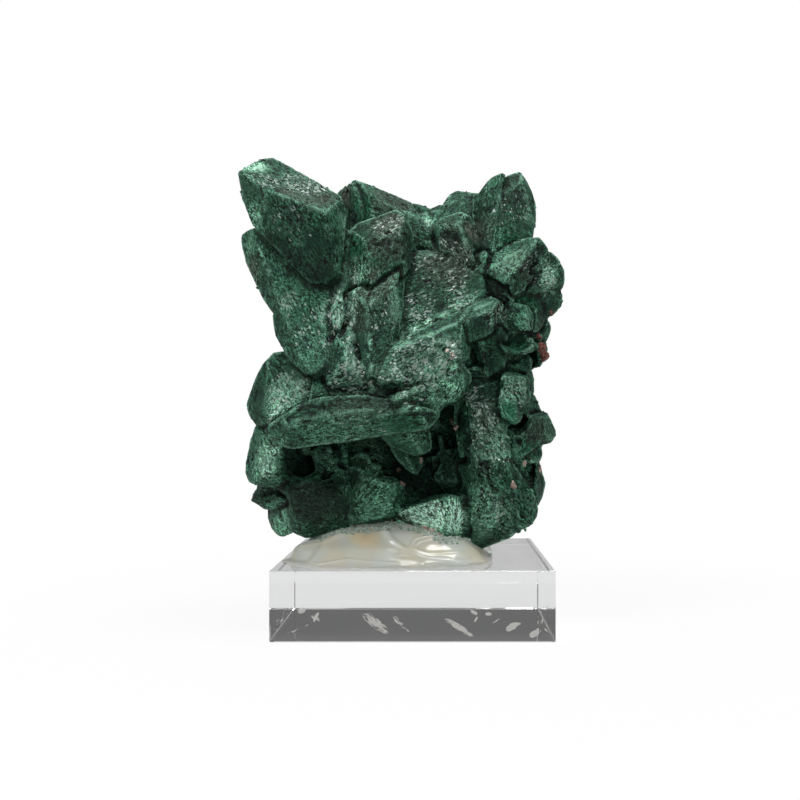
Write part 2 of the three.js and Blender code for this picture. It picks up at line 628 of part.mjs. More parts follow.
    faces: [[[27, 80, -12], [33, 79, -10], [29, 74, -13]]],
    root: [[29, 77, 4]],
  },
  footBed: {
    outline: [[[-46, 36.5], [-46, 41], [-39, 42], [-38, 37]]],
    faces: [[[-45, 40, -13], [-39, 41, -15], [-42, 37, -13]]],
    root: [[-38, 39, -2]],
  },
  neck: {
    outline: [[
      [15.3, 88], [24.5, 90], [28, 86], [27.7, 78], [26.8, 73], [22, 71.5], [19, 75], [16, 80],
    ]],
    faces: [
      [[18, 86, -18], [24.5, 85, -17.5], [22.5, 75, -15.5]],
      [[19.5, 86, -18], [20.5, 76, -16], [16.3, 82, -13]],
    ],
    root: [[18, 84, -2], [24, 74, -2]],
  },
};

// Small round leaves that crowd the hollow under the ledge: middle, radius and lean sideways.
const NEST_LEAVES = [
  [[-16, 47.8, -17], 2.9, 20], [[-13.2, 44.3, -18], 2.8, -15], [[-21.8, 43.2, -17], 2.6, 60],
  [[-17.5, 43.8, -18], 2.4, 35], [[-26, 42.6, -17], 2.4, -30], [[7.6, 52.5, -8], 2.6, 80],
  [[1.8, 46.2, -9], 2.2, -50], [[5.6, 46.4, -9], 2.4, 70], [[27.8, 76.6, -11], 2.6, -20],
  [[31, 76, -9], 2.4, 60], [[18.2, 71, -10], 2.6, 75], [[-33.8, 50, -14], 2.4, 10],
];

// The buried heart of the specimen, which every crystal grows from.
const HEART = [
  [[-30, -13, 92], [-24, -11, 108], [0, -9, 108], [24, -6, 106], [32, -6, 98], [30, -8, 72],
    [14, -16, 68], [-26, -16, 68], [-36, -2, 96], [-30, 2, 112], [26, 4, 112], [34, 4, 98],
    [33, 4, 70], [-34, 4, 68], [-30, 15, 108], [22, 18, 110], [32, 16, 84], [-34, 15, 76]],
  [[-38, -3, 68], [33, -3, 72], [35, -2, 44], [22, -4, 30], [-10, -2, 28], [-32, -2, 31],
    [-40, -2, 44], [-42, 3, 56], [-34, 16, 66], [32, 17, 66], [28, 14, 30], [-26, 14, 30]],
];

// Crystals of the back, given in the same way from the point behind the specimen.
const BACK_SIDE = {
  crownLeft: {
    outline: [[[-42, 117], [-38, 121], [-30, 117], [-21, 104], [-24, 89], [-33, 90], [-41, 104]]],
    faces: [
      [[-39, 114, 14], [-24, 103, 22], [-32, 92, 23]],
      [[-39, 114, 14], [-24, 103, 22], [-30, 117, 6]],
    ],
    root: [[-34, 108, 0], [-26, 96, 4]],
  },
  crownMiddle: {
    outline: [[[-20, 118], [-12, 123], [-3, 119], [1, 108], [-3, 87], [-16, 85], [-22, 100]]],
    faces: [
      [[-17, 113, 21], [-4, 112, 23], [-8, 92, 29]],
      [[-17, 113, 21], [-4, 112, 23], [-11, 122.5, 14]],
      [[-17, 112, 21.3], [-15, 90, 28], [-22, 104, 15]],
    ],
    root: [[-14, 110, 4], [-4, 108, 4], [-10, 90, 4]],
  },
  crownRight: {
    outline: [[[-1, 110], [6, 117], [16, 121], [23, 117], [26, 106], [22, 91], [6, 87], [-1, 96]]],
    faces: [
      [[3, 109, 25], [20, 113, 20], [14, 94, 28]],
      [[3, 111, 24.5], [20, 114, 19.8], [12, 121, 11]],
      [[18.5, 114, 20.2], [18, 94, 27], [26, 104, 13]],
    ],
    root: [[6, 108, 4], [20, 108, 4], [14, 92, 4]],
  },
  shoulder: {
    outline: [[[22, 110], [32, 114], [38, 108], [40, 98], [36, 88], [25, 85], [20, 98]]],
    faces: [
      [[25, 107, 18], [34, 100, 17], [28, 90, 21]],
      [[33.5, 108, 14.5], [33.5, 92, 18.5], [40, 99, 6]],
    ],
    root: [[26, 106, 0], [34, 100, 0], [28, 90, 2]],
  },
  longBlade: {
    outline: [[
      [13, 92], [6, 95], [-8, 88.5], [-30, 75], [-37, 66], [-32, 60], [-20, 62], [2, 76], [14, 84],
    ]],
    faces: [
      [[10, 89, 29.5], [-30, 69, 27], [-4, 72, 32.5]],
      [[10, 90.5, 29], [-30, 70.5, 26.5], [-10, 88, 21]],
      [[-28, 72, 27], [-25, 64, 28.5], [-37, 66, 18]],
    ],
    root: [[8, 86, 6], [-24, 68, 4], [-8, 78, 4]],
  },
  leftBlade: {
    outline: [[[-40, 98], [-36, 101], [-25, 92], [-23, 78], [-30, 67], [-38, 70], [-41.5, 84]]],
    faces: [
      [[-38, 94, 17], [-27, 88, 22], [-32, 74, 23]],
      [[-37, 92, 17.4], [-36, 74, 20.4], [-41.5, 84, 7]],
    ],
    root: [[-36, 92, 0], [-30, 76, 0], [-40, 82, -4]],
  },
  rightSlab: {
    outline: [[[11, 90], [24, 93], [34, 87], [37, 73], [30, 59], [16, 57], [8, 68], [6, 80]]],
    faces: [
      [[14, 84, 28], [29, 82, 24], [20, 64, 29]],
      [[28.5, 84, 24], [27, 64, 26.5], [37, 76, 10]],
      [[15, 84, 28], [14, 66, 29.4], [7, 76, 23]],
    ],
    root: [[14, 84, 4], [28, 82, 2], [20, 64, 4]],
  },
  centreBlock: {
    outline: [[[-12, 72], [0, 77], [12, 71], [15, 58], [10, 46], [-4, 42], [-14, 49], [-17, 62]]],
    faces: [
      [[-10, 65, 30], [8, 66, 31], [0, 50, 33]],
      [[-9, 68, 29.6], [8, 68.5, 30.6], [0, 76, 22]],
      [[8, 68, 30.7], [7, 50, 32.6], [15, 58, 23]],
    ],
    root: [[-8, 66, 4], [8, 66, 4], [0, 48, 4]],
  },
  ledge: {
    outline: [[
      [-46, 58], [-38, 64], [-22, 63.5], [-10, 59], [-8, 50], [-16, 44], [-34, 44], [-44, 50],
    ]],
    faces: [
      [[-38, 56, 22], [-14, 54, 28], [-26, 48, 27]],
      [[-38, 57.5, 21.8], [-14, 55.5, 27.8], [-28, 63, 18]],
      [[-37.5, 58, 22], [-38, 48, 23], [-45.6, 54, 6]],
    ],
    root: [[-36, 56, -2], [-14, 54, 4], [-26, 50, 0]],
  },
  footLeft: {
    outline: [[[-39, 44], [-30, 48], [-17, 47], [-13, 36], [-18, 27], [-28, 25], [-36, 31]]],
    faces: [
      [[-33, 41, 18], [-18, 40, 24], [-26, 30, 22]],
      [[-33, 42.5, 17.8], [-18, 42, 24], [-26, 48, 15]],
      [[-32.5, 44, 17.8], [-31, 30, 18.8], [-39, 38, 6]],
    ],
    root: [[-32, 42, 0], [-18, 40, 2], [-26, 32, 2]],
  },
  footMiddle: {
    outline: [[[-15, 44], [-4, 49], [8, 46], [12, 36], [8, 27], [-6, 25], [-14, 31]]],
    faces: [
      [[-11, 42, 26], [8, 42, 28], [0, 30, 25]],
      [[-9, 43, 26.2], [7, 43, 28], [-2, 48.5, 19]],
      [[7, 44, 28], [6, 29, 25.3], [12, 36, 19]],
    ],
    root: [[-10, 42, 2], [8, 42, 2], [0, 32, 2]],
  },
  footRight: {
    outline: [[[9, 46], [20, 50], [31, 46], [35, 36], [30, 25.5], [16, 23.5], [10, 32]]],
    faces: [
      [[13, 42, 26], [26, 42, 22], [20, 28, 23]],
      [[25.5, 43, 22.2], [25, 28, 21.4], [35, 36, 9]],
      [[14, 44, 25.5], [25, 44, 22.4], [20, 50, 15]],
    ],
    root: [[14, 42, 2], [28, 42, 0], [20, 30, 2]],
  },
  heel: {
    outline: [[[27, 64], [36, 64], [40.5, 56], [39, 46], [32, 42], [26, 50]]],
    faces: [
      [[29, 60, 20], [35, 58, 16], [31, 46, 20]],
      [[34.5, 60, 16.5], [35, 48, 17.5], [40.5, 53, 4]],
    ],
    root: [[30, 60, 0], [34, 54, -2], [30, 48, 0]],
  },
};

// Small blades that stand between the big ones: root, tip, width, thickness, roll.
const SMALL_BLADES = [
  [[0, 10, 98], [-1, 30, 104], 8, 5, 70],
  [[2, 10, 62], [14, 34, 78], 10, 6, 40],
  [[-16, 6, 46], [-13, 30, 40], 8, 5, 60],
  [[-26, 2, 104], [-37, 5, 100], 10, 6, 30],
  [[-28, 2, 64], [-46, 4, 76], 11, 6, 50],
  [[-28, 2, 56], [-45, 8, 51], 11, 6, 15],
  [[-26, 4, 44], [-40, 10, 40], 10, 6, 80],
  [[24, 2, 80], [36.5, 6, 84], 10, 6, 30],
  [[24, 0, 70], [34, 4, 68], 9, 5, -40],
  [[24, 2, 42], [37, 6, 44], 11, 6, 60],
  [[24, 6, 110], [34, 14, 118], 10, 6, 25],
  [[-8, 2, 36], [-16, -8, 30], 8, 5, 0],
];

function solidOf(geometry) {
  const bare = geometry.clone();
  bare.deleteAttribute('normal');
  bare.deleteAttribute('uv');
  const merged = mergeVertices(bare, 1e-4);
  return new wasm.Manifold(new wasm.Mesh({
    numProp: 3,
    vertProperties: merged.attributes.position.array,
    triVerts: new Uint32Array(merged.index.array),
  }));
}

function geometryOf(solid) {
  const { vertProperties, triVerts } = solid.getMesh();
  const geometry = new THREE.BufferGeometry();
  geometry.setAttribute('position', new THREE.BufferAttribute(vertProperties, 3));
  geometry.setIndex(new THREE.BufferAttribute(triVerts, 1));
  const flat = geometry.toNonIndexed();
  flat.computeVertexNormals();
  return flat;
}

const hull = (points) => solidOf(new ConvexGeometry(points));

// A block that fills the space in front of a plane, towards the eye.
function spaceBefore(eye, [a, b, c]) {
  const plane = new THREE.Plane().setFromCoplanarPoints(a, b, c);
  if (plane.distanceToPoint(eye) < 0) plane.negate();
  const box = new THREE.BoxGeometry(CUTTER * 2, CUTTER * 2, CUTTER).translate(0, 0, CUTTER / 2);
  box.applyQuaternion(new THREE.Quaternion().setFromUnitVectors(
    new THREE.Vector3(0, 0, 1), plane.normal));
  box.translate(a.x, a.y, a.z);
  return solidOf(box);
}

// How far from the eye's side a crystal's surface lies on the sight line through [across, up].
function faceDepth(eye, [across, up], planes) {
  const line = new THREE.Ray(eye, onSight(eye, [across, up, 0]).sub(eye).normalize());
  const depths = planes.map((corners) => {
    const meeting = line.intersectPlane(
      new THREE.Plane().setFromCoplanarPoints(...corners), new THREE.Vector3());
    return meeting ? meeting.y * -Math.sign(eye.y) : -NEAR_FRONT;
  });
  return Math.max(...depths);
}

// The convex bodies of one crystal: outline and root joined, then cut by the faces.
function facedBodies(eye, { outline, faces, root }) {
  const inward = -Math.sign(eye.y);
  const planes = faces.map((corners) => corners.map((corner) => onSight(eye, corner)));
  const buried = root.map((corner) => onSight(eye, corner));
  const reach = Math.max(...root.map(([, , y]) => y * inward));
  return outline.map((points) => {
    const front = points.map(([across, up]) => onSight(eye, [across, up, -NEAR_FRONT * inward]));
    const rim = points.map(([across, up]) => {
      const depth = Math.min(faceDepth(eye, [across, up], planes) + RIM_WIDTH, reach);
      return onSight(eye, [across, up, depth * inward]);
    });
    const whole = hull([...front, ...rim, ...buried]);
    return planes.reduce((rest, plane) => rest.subtract(spaceBefore(eye, plane)), whole);
  });
}

// A round leaf with a keeled face, tilted sideways by lean degrees, on a stalk into the mass.
function nestLeaf([[across, up, depth], radius, lean]) {
  const middle = onSight(SHOW_EYE, [across, up, depth]);
  const tilt = new THREE.Euler(LEAF_BACK, THREE.MathUtils.degToRad(lean), LEAF_TURN);
  const disc = new THREE.CylinderGeometry(
    radius * LEAF_FACE, radius, radius * LEAF_THICKNESS, LEAF_SIDES);
  disc.rotateX(Math.PI / 2);
  disc.applyQuaternion(new THREE.Quaternion().setFromEuler(tilt));
  disc.translate(middle.x, middle.y, middle.z);
  return hull([...cornersOf(disc), middle.clone().add(LEAF_STALK)]);
}

function cornersOf(geometry) {
  const spots = geometry.attributes.position;
  return Array.from(
    { length: spots.count }, (_, i) => new THREE.Vector3().fromBufferAttribute(spots, i));
}

// A convex body grown by margin on every side.
function grown(body, margin) {
  const { vertProperties } = body.getMesh();
  const points = [];
  for (let i = 0; i < vertProperties.length; i += 3) {
    for (let corner = 0; corner < 8; corner += 1) {
      points.push(new THREE.Vector3(
        vertProperties[i] + (corner & 1 ? margin : -margin),
        vertProperties[i + 1] + (corner & 2 ? margin : -margin),
        vertProperties[i + 2] + (corner & 4 ? margin : -margin),
      ));
    }
  }
  return hull(points);
}

// A flat prism with a chisel end, the habit of azurite blades.
function bladeCorners([root, tip, width, thickness, roll]) {
  const from = new THREE.Vector3(...root);
  const to = new THREE.Vector3(...tip);
  const along = to.clone().sub(from);
  const length = along.length();
  const turn = new THREE.Quaternion().setFromUnitVectors(
    new THREE.Vector3(0, 0, 1), along.normalize());
  turn.multiply(new THREE.Quaternion().setFromAxisAngle(
    new THREE.Vector3(0, 0, 1), THREE.MathUtils.degToRad(roll)));
  const w = width / 2;
  const t = thickness / 2;
  const corners = [
    [-w * 0.8, -t, 0], [w * 0.8, -t, 0], [w * 0.8, t, 0], [-w * 0.8, t, 0],
    [-w, 0, length * 0.3], [w, 0, length * 0.3],
    [-w * 0.92, 0, length * 0.72], [w * 0.95, 0, length * 0.8],
    [-w * 0.7, -t, length * 0.66], [w * 0.72, -t, length * 0.74],
    [w * 0.66, t, length * 0.86], [-w * 0.66, t, length * 0.8],
    [-w * 0.45, -t * 0.2, length * 0.97], [w * 0.4, t * 0.1, length],
  ];
  return corners.map((c) => new THREE.Vector3(...c).applyQuaternion(turn).add(from));
}

const vectors = (points) => points.map((p) => new THREE.Vector3(...p));

const CRYSTALS = [
  ...Object.values(SHOW_SIDE).flatMap((crystal) => facedBodies(SHOW_EYE, crystal)),
  ...Object.values(BACK_SIDE).flatMap((crystal) => facedBodies(BACK_EYE, crystal)),
  ...NEST_LEAVES.map(nestLeaf),
  ...SMALL_BLADES.map((blade) => hull(bladeCorners(blade))),
  ...HEART.map((lump) => hull(vectors(lump))),
];

// The largest closed skin of a solid: a hollow sealed inside it is filled.
const outerSkin = (solid) => solid.decompose().sort((a, b) => b.volume() - a.volume())[0];

const clusterSolid = () => outerSkin(CRYSTALS.reduce((whole, crystal) => whole.add(crystal)));

function blockSolid() {
  const s = BLOCK_SIDE / 2;
  const c = BLOCK_CHAMFER;
  const corners = [];
  for (const x of [-1, 1]) {
    for (const y of [-1, 1]) {
      for (const [z, inner] of [[0, c], [BLOCK_HEIGHT, -c]]) {
        corners.push(new THREE.Vector3(x * s, y * (s - c), z + inner));
        corners.push(new THREE.Vector3(x * (s - c), y * s, z + inner));
        corners.push(new THREE.Vector3(x * (s - c), y * (s - c), z));
      }
    }
  }
  return hull(corners);
}

// The mound of adhesive: rings that shrink towards the top, from the block's top face up.
const ADHESIVE_FOOT = [
  [-35, 4], [-35.5, -6], [-33.5, -18], [-29, -29], [-20, -32.5], [-8, -33], [4, -32.5], [14, -31],
  [21, -27], [23, -18], [22, -6], [24, 6], [19, 15], [6, 19], [-10, 19], [-26, 14],
];
const ADHESIVE_MIDDLE = [-8, -8];
const ADHESIVE_STEPS = [[1, 0], [0.97, 0.12], [0.85, 0.45], [0.66, 0.8], [0.45, 1]];

function adhesiveSolid() {
  const [cx, cy] = ADHESIVE_MIDDLE;
  const ring = ([share, rise]) => ADHESIVE_FOOT.map(([x, y]) => new THREE.Vector3(
    cx + (x - cx) * share, cy + (y - cy) * share, BLOCK_HEIGHT + rise * ADHESIVE_RISE));
  const mound = hull(ADHESIVE_STEPS.flatMap(ring));
  const above = BLOCK_HEIGHT + ADHESIVE_RISE + ADHESIVE_GAP;
  return outerSkin(CRYSTALS
    .filter((crystal) => crystal.boundingBox().min[2] < above)
    .reduce((rest, crystal) => rest.subtract(grown(crystal, ADHESIVE_GAP)), mound));
}

const MALACHITE = new THREE.MeshStandardMaterial({ color: 0x2f5444, roughness: 0.7, metalness: 0 });
const ACRYLIC = new THREE.MeshStandardMaterial({ color: 0xe9ecec, roughness: 0.05, metalness: 0 });
const ADHESIVE = new THREE.MeshStandardMaterial({ color: 0xcfd0c4, roughness: 0.2, metalness: 0 });

function node(name, solid, material) {
  const mesh = new THREE.Mesh(geometryOf(solid), material);
  mesh.name = name;
  return mesh;
}

const specimen = new THREE.Group();
specimen.add(node('crystal_cluster', clusterSolid(), MALACHITE));
specimen.add(node('adhesive_bed', adhesiveSolid(), ADHESIVE));
specimen.add(node('acrylic_block', blockSolid(), ACRYLIC));

export default specimen;
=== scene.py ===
import math
from itertools import product

import bmesh
import bpy
import numpy as np
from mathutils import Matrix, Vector
from mathutils.bvhtree import BVHTree
from mathutils.kdtree import KDTree


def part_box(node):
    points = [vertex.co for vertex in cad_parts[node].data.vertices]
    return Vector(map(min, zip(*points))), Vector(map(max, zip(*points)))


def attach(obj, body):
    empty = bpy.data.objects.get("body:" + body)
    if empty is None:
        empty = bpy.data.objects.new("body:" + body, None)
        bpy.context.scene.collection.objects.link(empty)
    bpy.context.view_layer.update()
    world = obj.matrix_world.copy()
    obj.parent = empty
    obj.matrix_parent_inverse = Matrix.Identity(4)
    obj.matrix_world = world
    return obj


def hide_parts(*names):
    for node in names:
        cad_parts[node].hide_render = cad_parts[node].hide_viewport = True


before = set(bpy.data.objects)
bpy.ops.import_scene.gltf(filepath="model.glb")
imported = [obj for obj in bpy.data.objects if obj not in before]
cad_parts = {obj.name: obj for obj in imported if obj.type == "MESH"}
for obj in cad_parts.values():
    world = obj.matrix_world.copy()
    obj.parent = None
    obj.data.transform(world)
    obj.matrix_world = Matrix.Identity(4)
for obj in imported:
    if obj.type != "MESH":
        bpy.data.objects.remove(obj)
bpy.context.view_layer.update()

# Sizes, in metres
MM = 0.001
SKIN_VOXEL = 0.58 * MM
FUSING_VOXEL = 1.2 * SKIN_VOXEL
SKIN_TRIANGLES = 196000
CREVICE_FILL = 0.5 * MM
ADHESIVE_VOXEL = 0.5 * MM
EVENING = 0.6
BLOCK_BEVEL = 0.35 * MM

# The camera stands where the photograph was taken from. A place of the show side is given by how
# far across and up it shows from there, on the plane through the block's middle.
EYE = Vector((6.8, -314.7, 59.1)) * MM
SENSOR = 36
FOCAL_PIXELS = 1041.7
IMAGE_SIDE = 800
CENTRE_PIXEL = (438, 420)


def sight(across, up):
    """The way in which a place of the show side is seen."""
    return (Vector((across, 0, up)) * MM - EYE).normalized()


# Repeatable random fields

def lattice(x, y, z, seed):
    """A repeatable number from 0 to 1 for each whole-number place."""
    mixed = x * 374761393 + y * 668265263 + z * 1442695041 + seed * 974634777
    mixed = (mixed ^ (mixed >> 13)) & 0xFFFFFFFF
    mixed = (mixed * 1274126177) & 0xFFFFFFFF
    mixed = (mixed ^ (mixed >> 16)) & 0xFFFFFF
    return mixed.astype(np.float32) / 0xFFFFFF


def noise(places, seed):
    """Smooth noise from 0 to 1 with features about one unit across."""
    corner = np.floor(places).astype(np.int64)
    part = (places - corner).astype(np.float32)
    ease = part * part * (3 - 2 * part)
    total = np.zeros(len(places), np.float32)
    for step in product((0, 1), repeat=3):
        x, y, z = np.where(step, ease, 1 - ease).T
        total += x * y * z * lattice(*(corner + step).T, seed)
    return total


def rough_noise(places, seed, octaves=3):
    """Noise with finer noise on it, still from 0 to 1."""
    total = np.zeros(len(places), np.float32)
    weight = 0
    for octave in range(octaves):
        strength = 0.5 ** octave
        total += strength * noise(places * 2.03 ** octave + 17.3 * octave, seed + octave)
        weight += strength
    return total / weight


def cells(places, seed):
    """How far the nearest middle of crowded cells is, its number from 0 to 1, and the way there."""
    corner = np.floor(places).astype(np.int64)
    nearest = np.full(len(places), 9, np.float32)
    number = np.zeros(len(places), np.float32)
    way = np.zeros((len(places), 3), np.float32)
    for step in product((-1, 0, 1), repeat=3):
        cell = corner + step
        *middle, drawn = (lattice(*cell.T, seed + i) for i in range(4))
        offset = (places - cell - np.stack(middle, axis=1)).astype(np.float32)
        distance = np.linalg.norm(offset, axis=1)
        closer = distance < nearest
        for held, found in ((nearest, distance), (number, drawn), (way, offset)):
            held[closer] = found[closer]
    return nearest, number, way


def ramp(values, low, high):
    """0 below low, 1 above high and a soft rise between."""
    share = np.clip((values - low) / (high - low), 0, 1)
    return share * share * (3 - 2 * share)


def terrace(values, levels):
    """Flat steps with steep risers."""
    scaled = values * levels
    whole = np.floor(scaled)
    return (whole + ramp(scaled - whole, 0.72, 1)) / levels


# Meshes

def piece(name, mesh):
    made = bpy.data.objects.new(name, mesh)
    bpy.context.scene.collection.objects.link(made)
    return made


def give(made, material):
    made.data.materials.clear()
    made.data.materials.append(material)


def discard(made):
    mesh = made.data
    bpy.data.objects.remove(made)
    bpy.data.meshes.remove(mesh)


def finished(made):
    """A new piece at the origin: the mesh with its modifiers applied."""
    name = made.name
    graph = bpy.context.evaluated_depsgraph_get()
    mesh = bpy.data.meshes.new_from_object(made.evaluated_get(graph))
    discard(made)
    mesh.name = name
    return piece(name, mesh)


def opened(mesh):
    shape = bmesh.new()
    shape.from_mesh(mesh)
    return shape


def as_mesh(shape, name):
    mesh = bpy.data.meshes.new(name)
    shape.to_mesh(mesh)
    shape.free()
    return mesh


def merged_copy(node):
    """A closed mesh made from a node's loose triangles."""
    shape = opened(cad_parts[node].data)
    bmesh.ops.remove_doubles(shape, verts=shape.verts, dist=1e-6)
    bmesh.ops.dissolve_degenerate(shape, edges=shape.edges, dist=1e-7)
    return as_mesh(shape, node + "_merged")


def read(mesh, attribute, width, collection="vertices", kind=np.float32):
    values = np.empty(len(getattr(mesh, collection)) * width, kind)
    getattr(mesh, collection).foreach_get(attribute, values)
    return values.reshape(-1, width) if width > 1 else values


def surface(mesh):
    """The places of the vertices and the ways they face."""
    return read(mesh, "co", 3), read(mesh, "vector", 3, "vertex_normals")


def write_places(mesh, places):
    mesh.vertices.foreach_set("co", places.astype(np.float32).ravel())
    mesh.update()


def store(mesh, name, values, domain="POINT"):
    kind, part = ("FLOAT_VECTOR", "vector") if values.ndim == 2 else ("FLOAT", "value")
    layer = mesh.attributes.new(name, kind, domain)
    layer.data.foreach_set(part, values.astype(np.float32).ravel())


def evener(mesh):
    """A function that evens values out over neighbouring vertices, in so many rounds."""
    one, other = read(mesh, "vertices", 2, "edges", np.int32).T
    count = len(mesh.vertices)
    valence = np.maximum(np.bincount(np.append(one, other), minlength=count), 1)

    def even(values, rounds):
        if values.ndim == 2:
            return np.stack([even(column, rounds) for column in values.T], axis=1)
        for _ in range(rounds):
            total = np.bincount(one, values[other], count) + np.bincount(other, values[one], count)
            values = values + (total / valence - values) * EVENING
        return values

    return even


def remeshed(made, voxel):
    """One even skin round the whole shape."""
    remesh = made.modifiers.new("Remesh", "REMESH")
    remesh.mode = "VOXEL"
    remesh.voxel_size = voxel
    return finished(made)


def pushed(made, distance):
    """Every vertex moved outwards by a distance."""
    places, normals = surface(made.data)
    write_places(made.data, places + normals * distance)


def largest_island(made):
    """Only the largest connected skin is kept."""
    mesh = made.data
    one, other = read(mesh, "vertices", 2, "edges", np.int32).T
    label, before = np.arange(len(mesh.vertices)), None
    while before is None or (label != before).any():
        before = label.copy()
        least = np.minimum(label[one], label[other])
        np.minimum.at(label, one, least)
        np.minimum.at(label, other, least)
        label = label[label]
    stray = np.flatnonzero(label != np.bincount(label).argmax())
    shape = opened(mesh)
    shape.verts.ensure_lookup_table()
    bmesh.ops.delete(shape, geom=[shape.verts[i] for i in stray], context="VERTS")
    shape.to_mesh(mesh)
    shape.free()


# Parts of what a search finds
POINT_NUMBER, POINT_AWAY = 1, 2
FACE_NUMBER, FACE_AWAY = 2, 3


def point_tree(points):
    tree = KDTree(len(points))
    for i, point in enumerate(points):
        tree.insert(point, i)
    tree.balance()
    return tree


def far(places, spot):
    return np.linalg.norm(places - np.array(spot), axis=1)


def searched(find, places, part):
    """One part of what a search finds for each place."""
    return np.array([find(place)[part] for place in places.tolist()])


# The faces of the crystals, read from the frame

FLAT_TOGETHER = math.cos(math.radians(2.5))
SHARP_EDGE = math.radians(24)
EDGE_STEP = 0.5 * MM
SETTLE_REACH = (0.45 * MM, 0.75 * MM)


class CrystalFaces:
    """The flat faces of the cluster's solid: which way their fibres run, their sizes and edges."""

    def __init__(self, mesh):
        shape = opened(mesh)
        shape.normal_update()
        self.tree = BVHTree.FromBMesh(shape)
        owner = list(range(len(shape.faces)))

        def root(index):
            while owner[index] != index:
                owner[index] = owner[owner[index]]
                index = owner[index]
            return index

        ridges, creases = [], []
        for edge in shape.edges:
            if len(edge.link_faces) != 2:
                continue
            one, other = edge.link_faces
            if one.normal.dot(other.normal) > FLAT_TOGETHER:
                owner[root(one.index)] = root(other.index)
            elif edge.calc_face_angle(0) > SHARP_EDGE:
                start, end = (vertex.co for vertex in edge.verts)
                steps = max(1, round((end - start).length / EDGE_STEP))
                line = ridges if edge.is_convex else creases
                line += [start.lerp(end, i / steps) for i in range(steps + 1)]
        self.ridges, self.creases = point_tree(ridges), point_tree(creases)
        groups = {}
        for face in shape.faces:
            groups.setdefault(root(face.index), []).append(face)
        self.face_group = np.zeros(len(shape.faces), np.int64)
        self.fibre, self.side, self.normal = np.zeros((3, len(groups), 3), np.float32)
        self.span = np.zeros(len(groups), np.float32)
        for number, faces in enumerate(groups.values()):
            self.face_group[[face.index for face in faces]] = number
            normal = sum((face.normal * face.calc_area() for face in faces), Vector())
            normal = np.array(normal.normalized())
            corners = np.array([v.co for face in faces for v in face.verts])
            spread = corners - corners.mean(0)
            spread -= np.outer(spread @ normal, normal)
            fibre = np.linalg.svd(spread, full_matrices=False)[2][0]
            fibre -= normal * (fibre @ normal)
            fibre /= max(np.linalg.norm(fibre), 1e-9)
            self.fibre[number] = fibre
            self.normal[number] = normal
            self.side[number] = np.cross(normal, fibre)
            self.span[number] = math.sqrt(sum(face.calc_area() for face in faces))

    def nearest(self, places):
        """The number of the flat face nearest to each place."""
        return self.face_group[searched(self.tree.find_nearest, places, FACE_NUMBER)]

    def settled(self, places):
        """Places close to the flat faces are brought down onto them."""
        hits = [self.tree.find_nearest(place) for place in places.tolist()]
        share = 1 - ramp(np.array([hit[FACE_AWAY] for hit in hits]), *SETTLE_REACH)
        return places + (np.array([hit[0] for hit in hits]) - places) * share[:, None]

    def seen(self, across, up):
        """Where a place of the show side is on the crystals."""
        place, normal, index, _ = self.tree.ray_cast(EYE, sight(across, up))
        return None if place is None else (place, normal, self.face_group[index])


# Relief of the crystals. Lengths are along the fibres, widths across them.
SWELL = (0.22 * MM, 9 * MM)
STEP_HEIGHT, STEP_LENGTH, STEP_WIDTH, STEP_LEVELS = 0.5 * MM, 10 * MM, 3.2 * MM, 5
RIB_HEIGHT, RIB_LENGTH, RIB_WIDTH = 0.16 * MM, 5 * MM, 1.2 * MM
BUMP_HEIGHT, BUMP_SIZE = 0.2 * MM, 1.2 * MM
PIT_DEPTH, PIT_SIZE = 0.45 * MM, 1.2 * MM
CHIP_DEPTH, CHIP_SIZE, CHIP_REACH = 0.5 * MM, 2.2 * MM, 1.1 * MM
BLOCK_HEIGHT_STEP, BLOCK_LENGTH, BLOCK_WIDTH = 0.3 * MM, 5 * MM, 2.2 * MM
CRACK_DEPTH, CRACK_WIDTH = 1.3 * MM, (0.2 * MM, 1.1 * MM)
FULL_RELIEF_SPAN = 12 * MM
BORDER_WANDER = 0.35 * MM


def wandering(places, seed):
    """Places shifted about, for ragged borders."""
    shift = np.stack([noise(places / (1.8 * MM), seed + i) - 0.5 for i in range(3)], axis=1)
    return places + shift * 2 * BORDER_WANDER


def cracked(places, faces, full, none):
    """How far the creases gape: 1 within the full distance of them, 0 beyond the other."""
    away = searched(faces.creases.find, wandering(places, 97), POINT_AWAY)
    return (1 - ramp(away, full, none)) * (0.25 + 0.75 * ramp(noise(places / (6 * MM), 95), 0.35, 0.65))


